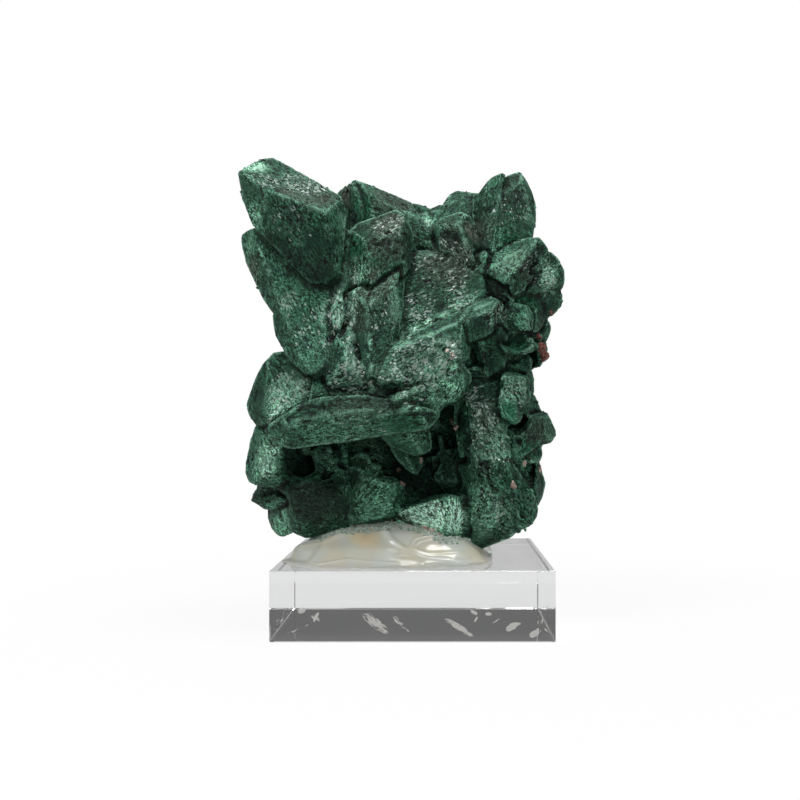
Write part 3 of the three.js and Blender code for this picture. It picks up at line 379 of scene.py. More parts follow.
def relief(places, faces):
    """How far the grown surface stands above the plain faces, in metres."""
    group = faces.nearest(wandering(places, 40))
    along = (places * faces.fibre[group]).sum(1)
    across = (places * faces.side[group]).sum(1)
    level = group * 7.31
    size = np.clip(faces.span[group] / FULL_RELIEF_SPAN, 0.25, 1)

    def on_face(length, width):
        return np.stack([along / length, across / width, level], axis=1)

    swell = (rough_noise(places / SWELL[1], 3, 2) - 0.5) * 2 * SWELL[0]
    steps = terrace(rough_noise(on_face(STEP_LENGTH, STEP_WIDTH), 11), STEP_LEVELS) - 0.5
    stepped = ramp(noise(places / (13 * MM), 23), 0.35, 0.6)
    ribs = (noise(on_face(RIB_LENGTH, RIB_WIDTH), 31) - 0.5) * RIB_HEIGHT
    distance, number, way = cells(on_face(BLOCK_LENGTH, BLOCK_WIDTH), 51)
    blocks = (number - 0.5 + way[:, 1] * (number - 0.5) * 1.4) * BLOCK_HEIGHT_STEP
    blocky = ramp(noise(places / (11 * MM), 67), 0.42, 0.62)
    bumps = (rough_noise(places / BUMP_SIZE, 71, 2) - 0.5) * BUMP_HEIGHT
    pitted = ramp(noise(places / (14 * MM), 83), 0.4, 0.65)
    pits = ramp(noise(places / PIT_SIZE, 87), 0.66, 0.86) * PIT_DEPTH * (0.3 + 0.7 * pitted)
    edge = 1 - ramp(searched(faces.ridges.find, places, POINT_AWAY), 0.3 * CHIP_REACH, CHIP_REACH)
    chips = ramp(noise(places / CHIP_SIZE, 91), 0.5, 0.8) * CHIP_DEPTH * edge
    cracks = cracked(places, faces, *CRACK_WIDTH) * CRACK_DEPTH
    steps = steps * STEP_HEIGHT * (0.35 + 0.65 * stepped)
    return size * (swell + steps + ribs + blocks * blocky - pits - chips) + bumps - cracks


# Looks of single faces: a place where each is seen, how far it reaches (millimetres) and how strongly.
# Green and dusty are colours of the crystal. Mint is pale wear and fracture, and on some shadowed lower
# crystals it is painted light. Dark is darker crystal in a few spots and painted shadow in most, under
# overhangs and in recesses. The last list marks where glints gather and paints a paler sheen there.
LOOKS = {"mint": [
    (-48.5, 135.8, 4.5, 0.7), (-48.5, 121, 3.5, 0.6), (-21.8, 118, 3, 0.3), (-24, 92, 6, 0.35),
    (-19, 104, 5, 0.35), (-6, 93, 4, 0.5), (3.2, 119, 2.5, 0.9), (40, 103, 5, 0.7), (34, 89, 3, 0.4),
    (29, 70, 6, 0.35), (-4, 83.6, 2, 0.9), (0, 86, 2, 0.9), (4.5, 88.4, 2, 0.9), (9, 91, 2, 0.8),
    (13, 93.5, 2, 0.8), (17, 95.5, 2, 0.7), (-2, 67.5, 4, 0.7), (-20, 76, 7, 0.25), (-40, 66, 7, 0.35),
    (-40, 61, 5, 0.6), (-46, 47, 8, 0.65), (-34, 49.5, 3, 0.6), (-41, 29, 6, 0.5), (-1, 31.5, 8, 1),
    (4, 30, 6, 1), (11, 30, 6, 0.8), (-12, 35, 8, 0.4), (30, 107, 7, 0.2), (34.5, 121, 3, 0.4),
    (-50, 112, 3, 0.3), (-22, 54, 13, 0.22), (-2, 55, 8, 0.22), (-47, 43, 6, 0.45), (10, 69, 8, 0.5),
    (24, 32, 9, 0.35), (-20, 52, 12, 0.35), (24, 52, 8, 0.2),
], "green": [
    (-16, 123, 4, 1), (-27, 116, 8, 0.4), (-18, 112, 5, 0.6), (-9, 106, 5, 0.4), (-31, 92, 7, 0.3),
    (12, 101, 8, 0.4), (30, 117, 8, 0.8), (33, 94, 6, 0.8), (32, 81, 6, 0.5), (29, 61, 5, 0.9),
    (11, 69, 7, 0.5), (-20, 56, 14, 0.45), (0, 56, 9, 0.4), (-3, 51, 7, 0.3), (-45, 52, 8, 0.6),
    (-46, 43, 6, 0.5), (-10, 34, 8, 0.5), (12, 30, 5, 0.6), (24, 44, 7, 0.5), (-45, 75, 5, 0.4),
    (-20, 46, 8, 0.5), (34, 48, 6, 0.5), (-40, 29, 6, 0.4),
], "dusty": [
    (-33, 127, 9, 0.5), (-50, 104, 6, 0.6), (-21.2, 128, 4, 1), (-6, 126, 8, 0.6), (-7, 118, 6, 0.7),
    (-9, 112, 6, 0.4), (-12, 100, 7, 0.6), (-17, 90, 5, 0.4), (10, 107, 9, 0.8), (11, 118, 3, 0.6),
    (17, 116, 3.5, 1), (21, 117, 5, 0.5), (30, 107, 6, 0.4), (34, 104, 5, 0.3), (24.5, 91, 4, 0.8),
    (29, 70, 5, 0.5), (36.5, 57, 5, 0.6), (-15, 64, 10, 0.3), (20, 58, 6, 0.4), (-31, 36, 8, 0.4),
], "dark": [
    (-27, 112, 8, 0.6), (-28.5, 102.2, 6, 1), (-33, 104, 4, 0.9), (-24.5, 103.5, 3, 1), (-41, 110, 5, 0.8),
    (-37, 106, 5, 0.8), (-43.5, 113.5, 3, 0.9), (-19, 121, 2.5, 1), (-19, 119, 3, 1), (-5, 126, 7, 0.45),
    (-18, 90, 5, 0.35), (8, 93.3, 2.2, 1), (11, 113.5, 4, 0.9), (21, 117, 5, 0.3), (34.5, 104, 6, 0.55),
    (24.5, 99, 3.2, 1), (27, 83, 3, 1), (33, 81, 4, 0.4), (36.5, 57, 5, 0.5), (-45, 76, 4, 0.3),
    (-15, 64, 10, 0.5), (-31, 37, 10, 1), (-26, 33, 7, 0.8), (-48, 35, 4, 0.7), (1, 96, 4, 0.3),
    (22, 70, 4, 0.5), (23, 122, 7, 0.65), (31, 121, 8, 0.6), (10, 103, 12, 0.5), (-9, 110, 9, 0.25),
    (-12, 92, 8, 0.35), (-12, 124, 8, 0.3), (-36, 116, 8, 0.35), (-30, 64, 8, 0.4), (1, 64, 6, 0.35),
    (-4, 44, 4, 1), (0, 41, 4, 1), (-38, 46, 3, 1), (-36, 43.5, 3, 1), (14, 58, 3, 1), (16, 52, 3, 1),
    (14.5, 47, 3, 1), (4, 38, 3, 0.9), (30, 42, 2, 1), (35, 38, 2, 1), (18, 46, 4, 0.5), (21, 78, 4, 0.6),
    (15.6, 30, 1.5, 1),
], "frost": [
    (-34, 130.5, 7, 1), (-45, 131.5, 5, 0.6), (-38, 120, 6, 0.25), (-38, 95, 3.2, 1), (-24, 92, 7, 0.8),
    (-20, 78, 8, 1), (-20, 70, 7, 1), (-7, 118, 6, 0.4), (-19, 103, 5, 0.5), (-6, 92, 5, 0.8),
    (9, 106, 10, 0.25), (13, 96, 5, 0.5), (1, 93, 5, 0.7), (40, 102, 5, 0.6), (24.5, 91, 4, 0.5),
    (2, 75, 9, 1), (8, 77, 8, 1), (-5, 72, 5, 0.9), (-2, 67.5, 4, 0.8), (-38, 68, 7, 0.7), (-40, 61, 5, 0.9),
    (-1, 32, 6, 1), (5, 30, 4, 0.7), (26, 33, 4, 0.8), (25, 30, 9, 0.35), (20, 58, 7, 0.6), (30, 68, 6, 0.3),
    (34, 108, 6, 0.2), (-30, 86, 7, 0.25), (22, 48, 7, 0.5), (-20, 58, 10, 0.15), (-12, 92, 6, 0.3),
    (-36, 117, 5, 0.15), (28, 122, 7, 0.2), (20, 62, 5, 0.6), (18, 66, 4, 0.6),
]}
# Faces whose fibres fan out from a place: the place, their reach, and how far left of it they start.
FANS = [(11.6, 25, 16, 16), (-21, 31, 17, 0), (-48, 60, 9, 9), (29, 80, 8, 8), (36, 60, 12, 12)]
# Faces whose fibres all run one way: the place, their reach, the way, and how plain they are.
RUNS = [
    (24, 36, 19, (0.62, -0.2, -0.76), 0.7), (24, 54, 11, (0.4, -0.3, -0.86), 0.5),
    (2, 74, 17, (0.78, 0, 0.62), 0.4), (-18, 56, 20, (0.98, 0, 0.16), 0.25),
]
FAN_RADIUS = 9 * MM
# Rims painted pale, partly as rubbed wear and partly as painted highlights where edges catch the light:
# how pale, and the corners of the line.
RIMS = [
    (0.8, (-42, 126), (-35.5, 123.8), (-28.9, 122.4), (-23.4, 123.1), (-21.6, 119.4), (-22, 109.6)),
    (0.9, (-20.5, 115), (-19.4, 117), (-14.3, 119), (-8.8, 121), (-5.5, 122.4)),
    (0.7, (-2.5, 120), (-0.7, 115)), (0.6, (-52.7, 114), (-50.9, 105.5), (-47.2, 97.5)),
    (0.7, (-53.3, 130.5), (-51.8, 124), (-49.1, 117.2)), (1, (-5.8, 80.1), (12, 89.1), (24.4, 95.8)),
    (0.8, (-40.9, 51.1), (-17.7, 52.8), (7.1, 57.7)), (0.6, (-44.2, 57.7), (-26, 61), (-4.5, 62.7)),
    (0.9, (-3.7, 101.5), (-4.5, 82.5)), (0.6, (-19.4, 94.1), (-16.1, 74.3)),
    (0.9, (31, 132.9), (36, 128.8), (36.5, 113.9)), (0.7, (23.6, 105.7), (36.8, 113.9)),
    (0.6, (-50.8, 66), (-45.8, 77.6), (-39.2, 79.2)), (0.5, (3, 131), (14, 124.5)),
    (0.6, (-20, 130.5), (-17.5, 131.5), (-3, 126)), (0.5, (12, 119), (15, 113)),
    (0.9, (24.8, 83.4), (32, 83.8), (36, 86)), (0.7, (15.4, 37), (15.6, 27)),
    (0.8, (19.6, 44.6), (28.4, 30.9)), (0.5, (20.9, 39.6), (26.3, 31.7)), (0.6, (27.1, 48), (32.9, 52.1)),
    (0.5, (-8, 74), (4, 80), (14, 86)), (0.4, (-4, 71), (8, 77.5)),
]
# Cracks painted in as dark lines of painted shade, given in the same way.
CRACKS = [
    (0.9, (-3.2, 61), (6.2, 60.8)), (0.9, (-33.2, 63.3), (-26.4, 63)), (0.8, (-18.5, 84), (-15, 72)),
    (1, (15.6, 35), (15.2, 28), (14.6, 21)), (0.8, (-33.9, 73.9), (-27.6, 70.1)),
    (0.8, (18.4, 43.4), (22, 38), (27, 29.8)), (0.7, (-20.5, 120), (-21, 108), (-22, 101)),
    (0.9, (-19.6, 40), (-20.6, 33), (-21, 28)), (0.6, (-26, 83), (-20, 70), (-11, 66.5)),
    (0.5, (-4, 68), (3, 69.5), (12, 66)), (0.8, (23.4, 104), (25, 98), (31, 92)),
    (0.5, (-16, 99), (-12, 101), (-6, 104)), (0.7, (20, 66), (21, 56), (18, 48)),
    (0.5, (-46, 57.5), (-44, 52), (-38, 49)), (0.6, (8, 80), (17, 72), (20, 66)),
]
LINE_STEP, LINE_SNAP = 0.4 * MM, 1.8 * MM
SAME_FACE = (0.6, 0.88)
SAME_LEVEL = (1.5 * MM, 3.5 * MM)
TONE_RANGE = (0.6, 1.55)
# Crystals worn round: the place, and how far the wear reaches.
ROUNDED = [
    (-8, 116, 9), (-31, 36, 13), (-12, 35, 9), (-46, 47, 9), (11, 69, 9), (-45, 66, 9), (22, 50, 9),
    (36, 56, 6), (-48, 36, 5), (4, 31, 6), (24, 28, 8),
]
ROUNDING_STEPS, ROUNDING_FADE = 26, (0.7, 1.1)
# Where ragged shards stand out of the skin
SHARD_SPOTS, SHARD_FADE = [(26, 34, 11), (20, 52, 9), (33, 44, 6), (4, 74, 9)], (0.8, 1.1)
SHADE_RAYS = 14
SHADE_REACH = 9 * MM
GOLDEN_TURN = math.pi * (3 - math.sqrt(5))


def looks_of(places, normals, faces):
    """How much of each look the vertices have, from 0 to 1."""
    ragged = wandering(places, 140)
    patchy = 0.55 + 0.9 * (rough_noise(places / (3.2 * MM), 150) - 0.5)
    result = {}
    for look, spots in LOOKS.items():
        total = np.zeros(len(places), np.float32)
        for across, up, reach, strength in spots:
            place, _, face = faces.seen(across, up)
            level = np.abs((ragged - np.array(place)) @ faces.normal[face])
            near = ((1 - ramp(far(ragged, place) / (reach * MM), 0.6, 1.2))
                    * ramp(normals @ faces.normal[face], *SAME_FACE) * (1 - ramp(level, *SAME_LEVEL)))
            total = np.maximum(total, strength * near)
        result[look] = np.clip(total * (0.6 + 0.8 * patchy), 0, 1)
    return result


def walked(corners, count=None):
    """Places along a line of corners: so many on each stretch, or else one each line step."""
    for one, other in zip(corners, corners[1:]):
        steps = count or max(1, round(math.dist(one, other) * MM / LINE_STEP)) + 1
        for part in np.linspace(0, 1, steps):
            yield [a + (b - a) * part for a, b in zip(one, other)]


def traced(lines, edges, places, faces):
    """How strong the lines are at each vertex. They follow edges that run close to them."""
    share = np.zeros(len(places), np.float32)
    for strength, *corners in lines:
        marks = []
        for across, up in walked(corners):
            hit = faces.seen(across, up)
            if hit is not None:
                edge, _, away = edges.find(hit[0])
                marks.append(edge if away < LINE_SNAP else hit[0])
        away = searched(point_tree(marks).find, places, POINT_AWAY)
        share = np.maximum(share, strength * (1 - ramp(away, 0.25 * MM, 0.85 * MM)))
    return share


def close_to(spots, places, faces, fade):
    """How far the places are within the reach of the spots, from 0 to 1."""
    share = np.zeros(len(places), np.float32)
    for *spot, reach in spots:
        away = far(places, faces.seen(*spot)[0]) / (reach * MM)
        share = np.maximum(share, 1 - ramp(away, *fade))
    return share


def tones_of(places, faces):
    """A tone for each flat face, the same all over it."""
    random = np.random.default_rng(181)
    return random.uniform(*TONE_RANGE, len(faces.span))[faces.nearest(wandering(places, 180))]


def fibres_of(mesh, faces):
    """Which way the fibres of each triangle run, how plainly they show, and where they fan out from."""
    middles = read(mesh, "center", 3, "polygons")
    fibre = faces.fibre[faces.nearest(middles)].copy()
    streaky = 0.5 * ramp(noise(middles / (7 * MM), 190), 0.5, 0.75)
    centre = np.zeros(middles.shape, np.float32)
    fan = np.zeros(len(middles), np.float32)
    for *spot, reach, way, plain in RUNS:
        near = far(middles, faces.seen(*spot)[0]) < reach * MM
        fibre[near] = way
        streaky[near] = plain
    for *spot, reach, left in FANS:
        middle = faces.seen(*spot)[0]
        near = (far(middles, middle) < reach * MM) & (middles[:, 0] > middle.x - left * MM)
        centre[near] = middle
        fan[near] = streaky[near] = 1
    return {"fibre": fibre, "streaky": streaky, "centre": centre, "fan": fan}


def openness(places, normals, faces):
    """The share of the sky that each vertex sees."""
    seen = np.zeros(len(places), np.float32)
    side = np.cross(normals, np.where(np.abs(normals[:, 2:3]) < 0.9, (0, 0, 1), (1, 0, 0)))
    side /= np.linalg.norm(side, axis=1, keepdims=True)
    other = np.cross(normals, side)
    starts = (places + normals * 0.5 * MM).tolist()
    for ray in range(SHADE_RAYS):
        lift = math.sqrt(1 - (ray + 0.5) / SHADE_RAYS)
        turn = ray * GOLDEN_TURN
        flat = (side * math.cos(turn) + other * math.sin(turn)) * math.sqrt(1 - lift * lift)
        for i, (start, way) in enumerate(zip(starts, (normals * lift + flat).tolist())):
            distance = faces.tree.ray_cast(start, way, SHADE_REACH)[3]
            seen[i] += 1 if distance is None else distance / SHADE_REACH
    return seen / SHADE_RAYS


def crystal_skin(faces):
    """The cluster's grown surface: fused, worn, stepped, ribbed, pitted and chipped."""
    fine = remeshed(piece("crystal_skin", merged_copy("crystal_cluster")), FUSING_VOXEL)
    pushed(fine, CREVICE_FILL)
    fine = remeshed(fine, FUSING_VOXEL)
    pushed(fine, -CREVICE_FILL)
    fine = remeshed(fine, SKIN_VOXEL)
    largest_island(fine)
    even = evener(fine.data)
    places = faces.settled(read(fine.data, "co", 3))
    rounded = even(places, ROUNDING_STEPS)
    places += (rounded - places) * close_to(ROUNDED, places, faces, ROUNDING_FADE)[:, None]
    write_places(fine.data, places)
    places = places + surface(fine.data)[1] * relief(places, faces)[:, None]
    write_places(fine.data, places)
    # How proud the relief stands: ridges get a pale tint of wear, hollows get painted shade.
    proud = (places - even(places, 8)) * surface(fine.data)[1]
    ridge = proud.sum(1) / (0.25 * MM)
    memory = point_tree(places.tolist())

    fine.data.calc_loop_triangles()
    thin = fine.modifiers.new("Thin", "DECIMATE")
    thin.ratio = min(1, SKIN_TRIANGLES / len(fine.data.loop_triangles))
    thin.use_collapse_triangulate = True
    skin = finished(fine)
    mesh = skin.data
    places, normals = surface(mesh)
    even = evener(mesh)
    store(mesh, "ridge", np.clip(ridge[searched(memory.find, places, POINT_NUMBER)], -1, 1))
    # The share of sky seen, which the material uses to paint shade into crevices.
    store(mesh, "open", even(openness(places, normals, faces), 3))
    shifted = wandering(places, 165)
    worn = 1 - ramp(searched(faces.ridges.find, shifted, POINT_AWAY), 0.2 * MM, 0.8 * MM)
    rubbed = ramp(noise(places / (4 * MM), 160), 0.3, 0.6)
    rubbed *= ramp(noise(places / (10 * MM), 162), 0.25, 0.5)
    store(mesh, "worn", worn * (0.15 + 0.6 * rubbed))
    # Pale rims: wear and painted highlights along edges.
    store(mesh, "rim", traced(RIMS, faces.ridges, shifted, faces))
    # Painted shade: darker in creases and along the cracks.
    store(mesh, "crack", np.maximum(cracked(places, faces, 0.3 * MM, 1.5 * MM),
                                    traced(CRACKS, faces.creases, shifted, faces)))
    looks = looks_of(places, normals, faces)
    for look, share in looks.items():
        store(mesh, look, even(share, 1))
    patches = ramp(noise(places / (8 * MM), 170), 0.45, 0.75)
    store(mesh, "drusy", np.clip(0.02 + 0.15 * patches + 0.5 * looks["frost"] - looks["green"], 0, 1))
    store(mesh, "tone", tones_of(places, faces))
    for name, share in fibres_of(mesh, faces).items():
        store(mesh, name, share, "FACE")
    store(mesh, "shards", close_to(SHARD_SPOTS, places, faces, SHARD_FADE) * (normals[:, 1] < 0.1))
    mesh.shade_smooth()
    return skin


# Node materials and node trees

def colour(code):
    """Scene-linear colour of an sRGB hex code."""
    parts = [int(code[i:i + 2], 16) / 255 for i in (1, 3, 5)]
    return tuple(p / 12.92 if p <= 0.04045 else ((p + 0.055) / 1.055) ** 2.4 for p in parts) + (1,)


def add(tree, kind, values=None):
    """The outputs of a new node. Each value is for a property, or for an input by its name or number,
    where it is linked if it is what feeds the input. A colour is given by its code."""
    made = tree.nodes.new(kind)
    values = dict(values or {})
    for name in [key for key in values if isinstance(key, str) and hasattr(made, key)]:
        setattr(made, name, values.pop(name))
    for name, value in values.items():
        if isinstance(value, bpy.types.NodeSocket):
            tree.links.new(value, made.inputs[name])
        else:
            made.inputs[name].default_value = colour(value) if str(value)[0] == "#" else value
    return made.outputs


def new_material(name):
    """A material, its tree, and the places on the object for its patterns."""
    material = bpy.data.materials.new(name)
    material.use_nodes = True
    tree = material.node_tree
    tree.nodes.clear()
    return material, tree, add(tree, "ShaderNodeTexCoord")["Object"]


def surfaced(material, shader):
    add(material.node_tree, "ShaderNodeOutputMaterial", {"Surface": shader})
    return material


MIX_A, MIX_B, MIX_COLOUR = 6, 7, 2
MIX_FROM, MIX_TO, MIX_VECTOR = 4, 5, 1
WHITE = (1, 1, 1, 1)


def blend(tree, share, first, second):
    """A colour between two others, each given by its code or by what feeds it."""
    values = {"data_type": "RGBA", 0: share, MIX_A: first, MIX_B: second}
    return add(tree, "ShaderNodeMix", values)[MIX_COLOUR]


def maths(tree, operation, *given):
    return add(tree, "ShaderNodeMath", {"operation": operation, **dict(enumerate(given))})[0]


def times(tree, feed, *others):
    for other in others:
        feed = maths(tree, "MULTIPLY", feed, other)
    return feed


def vectors(tree, operation, *given, output="Vector"):
    values = {"operation": operation, **dict(enumerate(given))}
    return add(tree, "ShaderNodeVectorMath", values)[output]


def scaled(tree, feed, share):
    values = {"operation": "SCALE", 0: feed, "Scale": share}
    return add(tree, "ShaderNodeVectorMath", values)["Vector"]


def rise(tree, feed, low, high, least=0, most=1):
    """Goes from least to most as the feed goes from low to high."""
    values = {"interpolation_type": "SMOOTHSTEP", "Value": feed, "From Min": low, "From Max": high,
              "To Min": least, "To Max": most}
    return add(tree, "ShaderNodeMapRange", values)["Result"]


def attribute(tree, name, output="Fac"):
    return add(tree, "ShaderNodeAttribute", {"attribute_name": name})[output]


def pattern(tree, place, size, detail, roughness=0.5, distortion=0):
    """Noise on Object coordinates whose features measure this size."""
    values = {"Scale": 1 / size, "Detail": detail, "Roughness": roughness, "Distortion": distortion,
              "Vector": place}
    return add(tree, "ShaderNodeTexNoise", values)["Fac"]


def bumped(tree, height, strength, distance, **more):
    values = {"Height": height, "Strength": strength, "Distance": distance, **more}
    return add(tree, "ShaderNodeBump", values)["Normal"]


def principled(tree, values):
    return add(tree, "ShaderNodeBsdfPrincipled", values)["BSDF"]


def either(tree, share, first, second):
    """The second surface in this share of the places, else the first."""
    return add(tree, "ShaderNodeMixShader", {0: share, 1: first, 2: second})["Shader"]


# Pseudomorph malachite: a felt of fine green fibres, velvety and dark. It glints where fibres catch
# the light, and is pale mint where it is worn or freshly broken. Its colour also holds painted light:
# painted shade in crevices, hollows, creases and cracks, painted shadow under overhangs, a painted sheen
# and paler glint cells where glints gather, painted highlights along some rims, and painted light on
# some shadowed lower crystals.
STRAND_SIZE, STRAND_STRETCH = 0.6 * MM, 0.5
STREAK_SIZE, STREAK_STRETCH = 0.5 * MM, 0.78
GRAIN_SIZE, HOLE_SIZE = 0.42 * MM, 1 * MM
GLINT_SIZE, GLINT_PATCH = 0.42 * MM, 2.6 * MM
CALM_SIZE = 6 * MM
CLOUD_SIZE = 5 * MM
# Tints of the body, one over the other: the attribute, the stretch of it over which the tint rises,
# if not evenly over all of it, how strong it gets, and its colour.
TINTS = [
    # Mint: pale wear and fracture, and painted light on some shadowed lower crystals.
    ("green", None, 0.8, "#205F43"), ("dusty", None, 0.8, "#50554D"), ("mint", None, 1, "#88C4A3"),
    ("mint", (0.5, 0.85), 0.75, "#B4DFC8"), ("worn", None, 0.9, "#86B79D"),
    # The sparkle tint is a painted sheen; the ridge tint pales proud relief as wear.
    ("frost", None, 0.3, "#6C8F7E"), ("ridge", (0.1, 0.8), 0.3, "#5C8B74"),
    # Dark: painted shadow under overhangs and in recesses, and darker crystal in a few spots.
    ("dark", None, 0.86, "#0C1F17"),
]


def drawn_along(tree, place, share):
    """Places squeezed along the fibres, so that patterns are stretched along them."""
    fibre = attribute(tree, "fibre", "Vector")
    along = vectors(tree, "DOT_PRODUCT", place, fibre, output="Value")
    straight = vectors(tree, "SUBTRACT", place, scaled(tree, fibre, times(tree, along, share)))
    away = vectors(tree, "SUBTRACT", place, attribute(tree, "centre", "Vector"))
    reach = vectors(tree, "LENGTH", away, output="Value")
    reach = maths(tree, "MULTIPLY_ADD", reach, 1 - share, FAN_RADIUS * share)
    fanned = scaled(tree, vectors(tree, "NORMALIZE", away), reach)
    values = {"data_type": "VECTOR", 0: attribute(tree, "fan"), MIX_FROM: straight, MIX_TO: fanned}
    return add(tree, "ShaderNodeMix", values)[MIX_VECTOR]


def malachite_material():
    material, tree, place = new_material("malachite_felted_fibres")
    drawn = drawn_along(tree, place, STRAND_STRETCH)
    streaks = pattern(tree, drawn_along(tree, place, STREAK_STRETCH), STREAK_SIZE, 1)
    strands = pattern(tree, drawn, STRAND_SIZE, 1, 0.6)
    strands = blend(tree, attribute(tree, "streaky"), strands, streaks)
    grain = pattern(tree, place, GRAIN_SIZE, 1, 0.6)
    flakes = add(tree, "ShaderNodeTexVoronoi", {"Scale": 1 / GLINT_SIZE, "Vector": drawn})["Color"]
    flake = add(tree, "ShaderNodeSeparateColor", {"Color": flakes})["Red"]

    clouds = rise(tree, pattern(tree, place, CLOUD_SIZE, 4, 0.55), 0.38, 0.62)
    body = blend(tree, clouds, "#213F33", "#305643")
    body = scaled(tree, body, attribute(tree, "tone"))
    for name, stretch, strength, code in TINTS:
        share = attribute(tree, name)
        if stretch:
            share = rise(tree, share, *stretch)
        body = blend(tree, times(tree, share, strength), body, code)

    fine = times(tree, rise(tree, strands, 0.36, 0.64, 0.35, 1.75), rise(tree, grain, 0.34, 0.64, 0.3, 1.75),
                 rise(tree, pattern(tree, drawn, HOLE_SIZE, 1), 0.32, 0.42, 0.12, 1))
    calm = rise(tree, pattern(tree, place, CALM_SIZE, 2, 0.6), 0.48, 0.62, 0, 0.45)
    # Painted shade: the colour is darkened where a vertex sees little sky, in hollows of the relief and in
    # creases and cracks; the fine grain is multiplied in too.
    shade = times(tree, rise(tree, attribute(tree, "open"), 0.15, 0.58, 0.15, 1.05),
                  rise(tree, attribute(tree, "ridge"), -0.8, 0, 0.4, 1),
                  rise(tree, attribute(tree, "crack"), 0, 1, 1, 0.12),
                  blend(tree, calm, fine, WHITE))
    # Pale rims over the shaded body: wear and painted highlights.
    rim = times(tree, attribute(tree, "rim"), rise(tree, grain, 0.35, 0.6, 0.3, 1))
    body = blend(tree, rim, scaled(tree, body, shade), "#83B89C")

    felt = bumped(tree, strands, 0.9, 0.3 * MM)
    felt = bumped(tree, grain, 0.9, 0.32 * MM, Normal=felt)
    velvet = principled(tree, {"Roughness": 0.6, "IOR": 1.5, "Specular IOR Level": 0.16,
                               "Base Color": body, "Normal": felt})
    tilt = scaled(tree, vectors(tree, "SUBTRACT", flakes, (0.5,) * 3), 0.8)
    facing = vectors(tree, "NORMALIZE", vectors(tree, "ADD", felt, tilt))
    # Glinting cells: a strongly specular surface whose base colour is painted paler, a painted highlight.
    glint_painted_pale = principled(tree, {"Roughness": 0.3, "IOR": 1.85, "Specular IOR Level": 0.8,
                                  "Base Color": blend(tree, 0.4, body, "#B9DACA"),
                                  "Normal": facing})
    patches = rise(tree, pattern(tree, place, GLINT_PATCH, 2, 0.6), 0.4, 0.62)
    catching = times(tree, attribute(tree, "frost"), maths(tree, "MULTIPLY_ADD", patches, 0.5, 0.12))
    glint = rise(tree, maths(tree, "ADD", flake, catching), 0.99, 1.03)
    return surfaced(material, either(tree, glint, velvet, glint_painted_pale))


# Hot-melt adhesive: milky and translucent, with a painted amber glow where light comes through, glossy from
# setting.
AMBER_GLOW_PLACE, AMBER_GLOW_REACH = (-13.5, -24, 24.5), 6.5


def adhesive_material():
    material, tree, place = new_material("hot_melt_adhesive_set")
    clouds = rise(tree, pattern(tree, place, 9 * MM, 3), 0.35, 0.65)
    # Painted glow: amber base colour round one spot, where light shines through.
    away = vectors(tree, "DISTANCE", place, tuple(v * MM for v in AMBER_GLOW_PLACE), output="Value")
    painted_amber_glow = rise(tree, away, 0.3 * AMBER_GLOW_REACH * MM, AMBER_GLOW_REACH * MM, 0.75, 0)
    body = blend(tree, clouds, "#EDF2EA", "#F1ECD8")
    return surfaced(material, principled(tree, {
        "Base Color": blend(tree, painted_amber_glow, body, "#F6DBA4"), "Roughness": 0.13, "IOR": 1.49,
        "Transmission Weight": 0.35, "Subsurface Weight": 0.6, "Subsurface Scale": 5 * MM,
        "Subsurface Radius": (1, 0.95, 0.8),
        "Normal": bumped(tree, pattern(tree, place, 5 * MM, 1), 0.25, 0.4 * MM)}))


# Cast acrylic, polished: clear, with rubbed scuffs low on its front and hazy corners.
# Each scuff: across and up, its turn in degrees, half its length and width, and how solid it is.
SCUFFS = [
    (-9.8, 5.1, -38, 4.6, 1.5, 0.1), (-3.4, 5.2, -44, 3.8, 0.8, 0), (12.4, 4, -32, 4.8, 0.9, 0.15),
    (26.4, 4.1, 28, 1.9, 1, 0.2), (27.3, 4.9, 5, 1.7, 0.5, 0.3), (32.4, 2.3, 28, 1.6, 1, 0.2),
    (33.2, 2.9, 80, 1.2, 0.5, 0.2), (-25.6, 6.8, 62, 1.6, 0.5, 0.2), (-25.6, 6.4, -28, 1.6, 0.5, 0.1),
    (20.2, 7.6, 0, 1, 0.5, 0.4), (16.4, 8, -30, 1.2, 0.5, 0.2), (-29.4, 8.5, 20, 1.2, 0.8, 0.4),
    (16.9, 6.2, 60, 1, 0.3, 0.2), (22.5, 6, 32, 2.2, 0.3, 0), (34.5, 6.5, 66, 7.5, 2.6, -0.12),
    (36, 3, -58, 4.5, 1.6, -0.1), (-34.5, 6.5, 48, 7.5, 2.2, -0.12), (-31, 3.4, 20, 5, 0.8, -0.08),
]
STROKE_LENGTH, STROKE_WIDTH = 2 * MM, 0.32 * MM


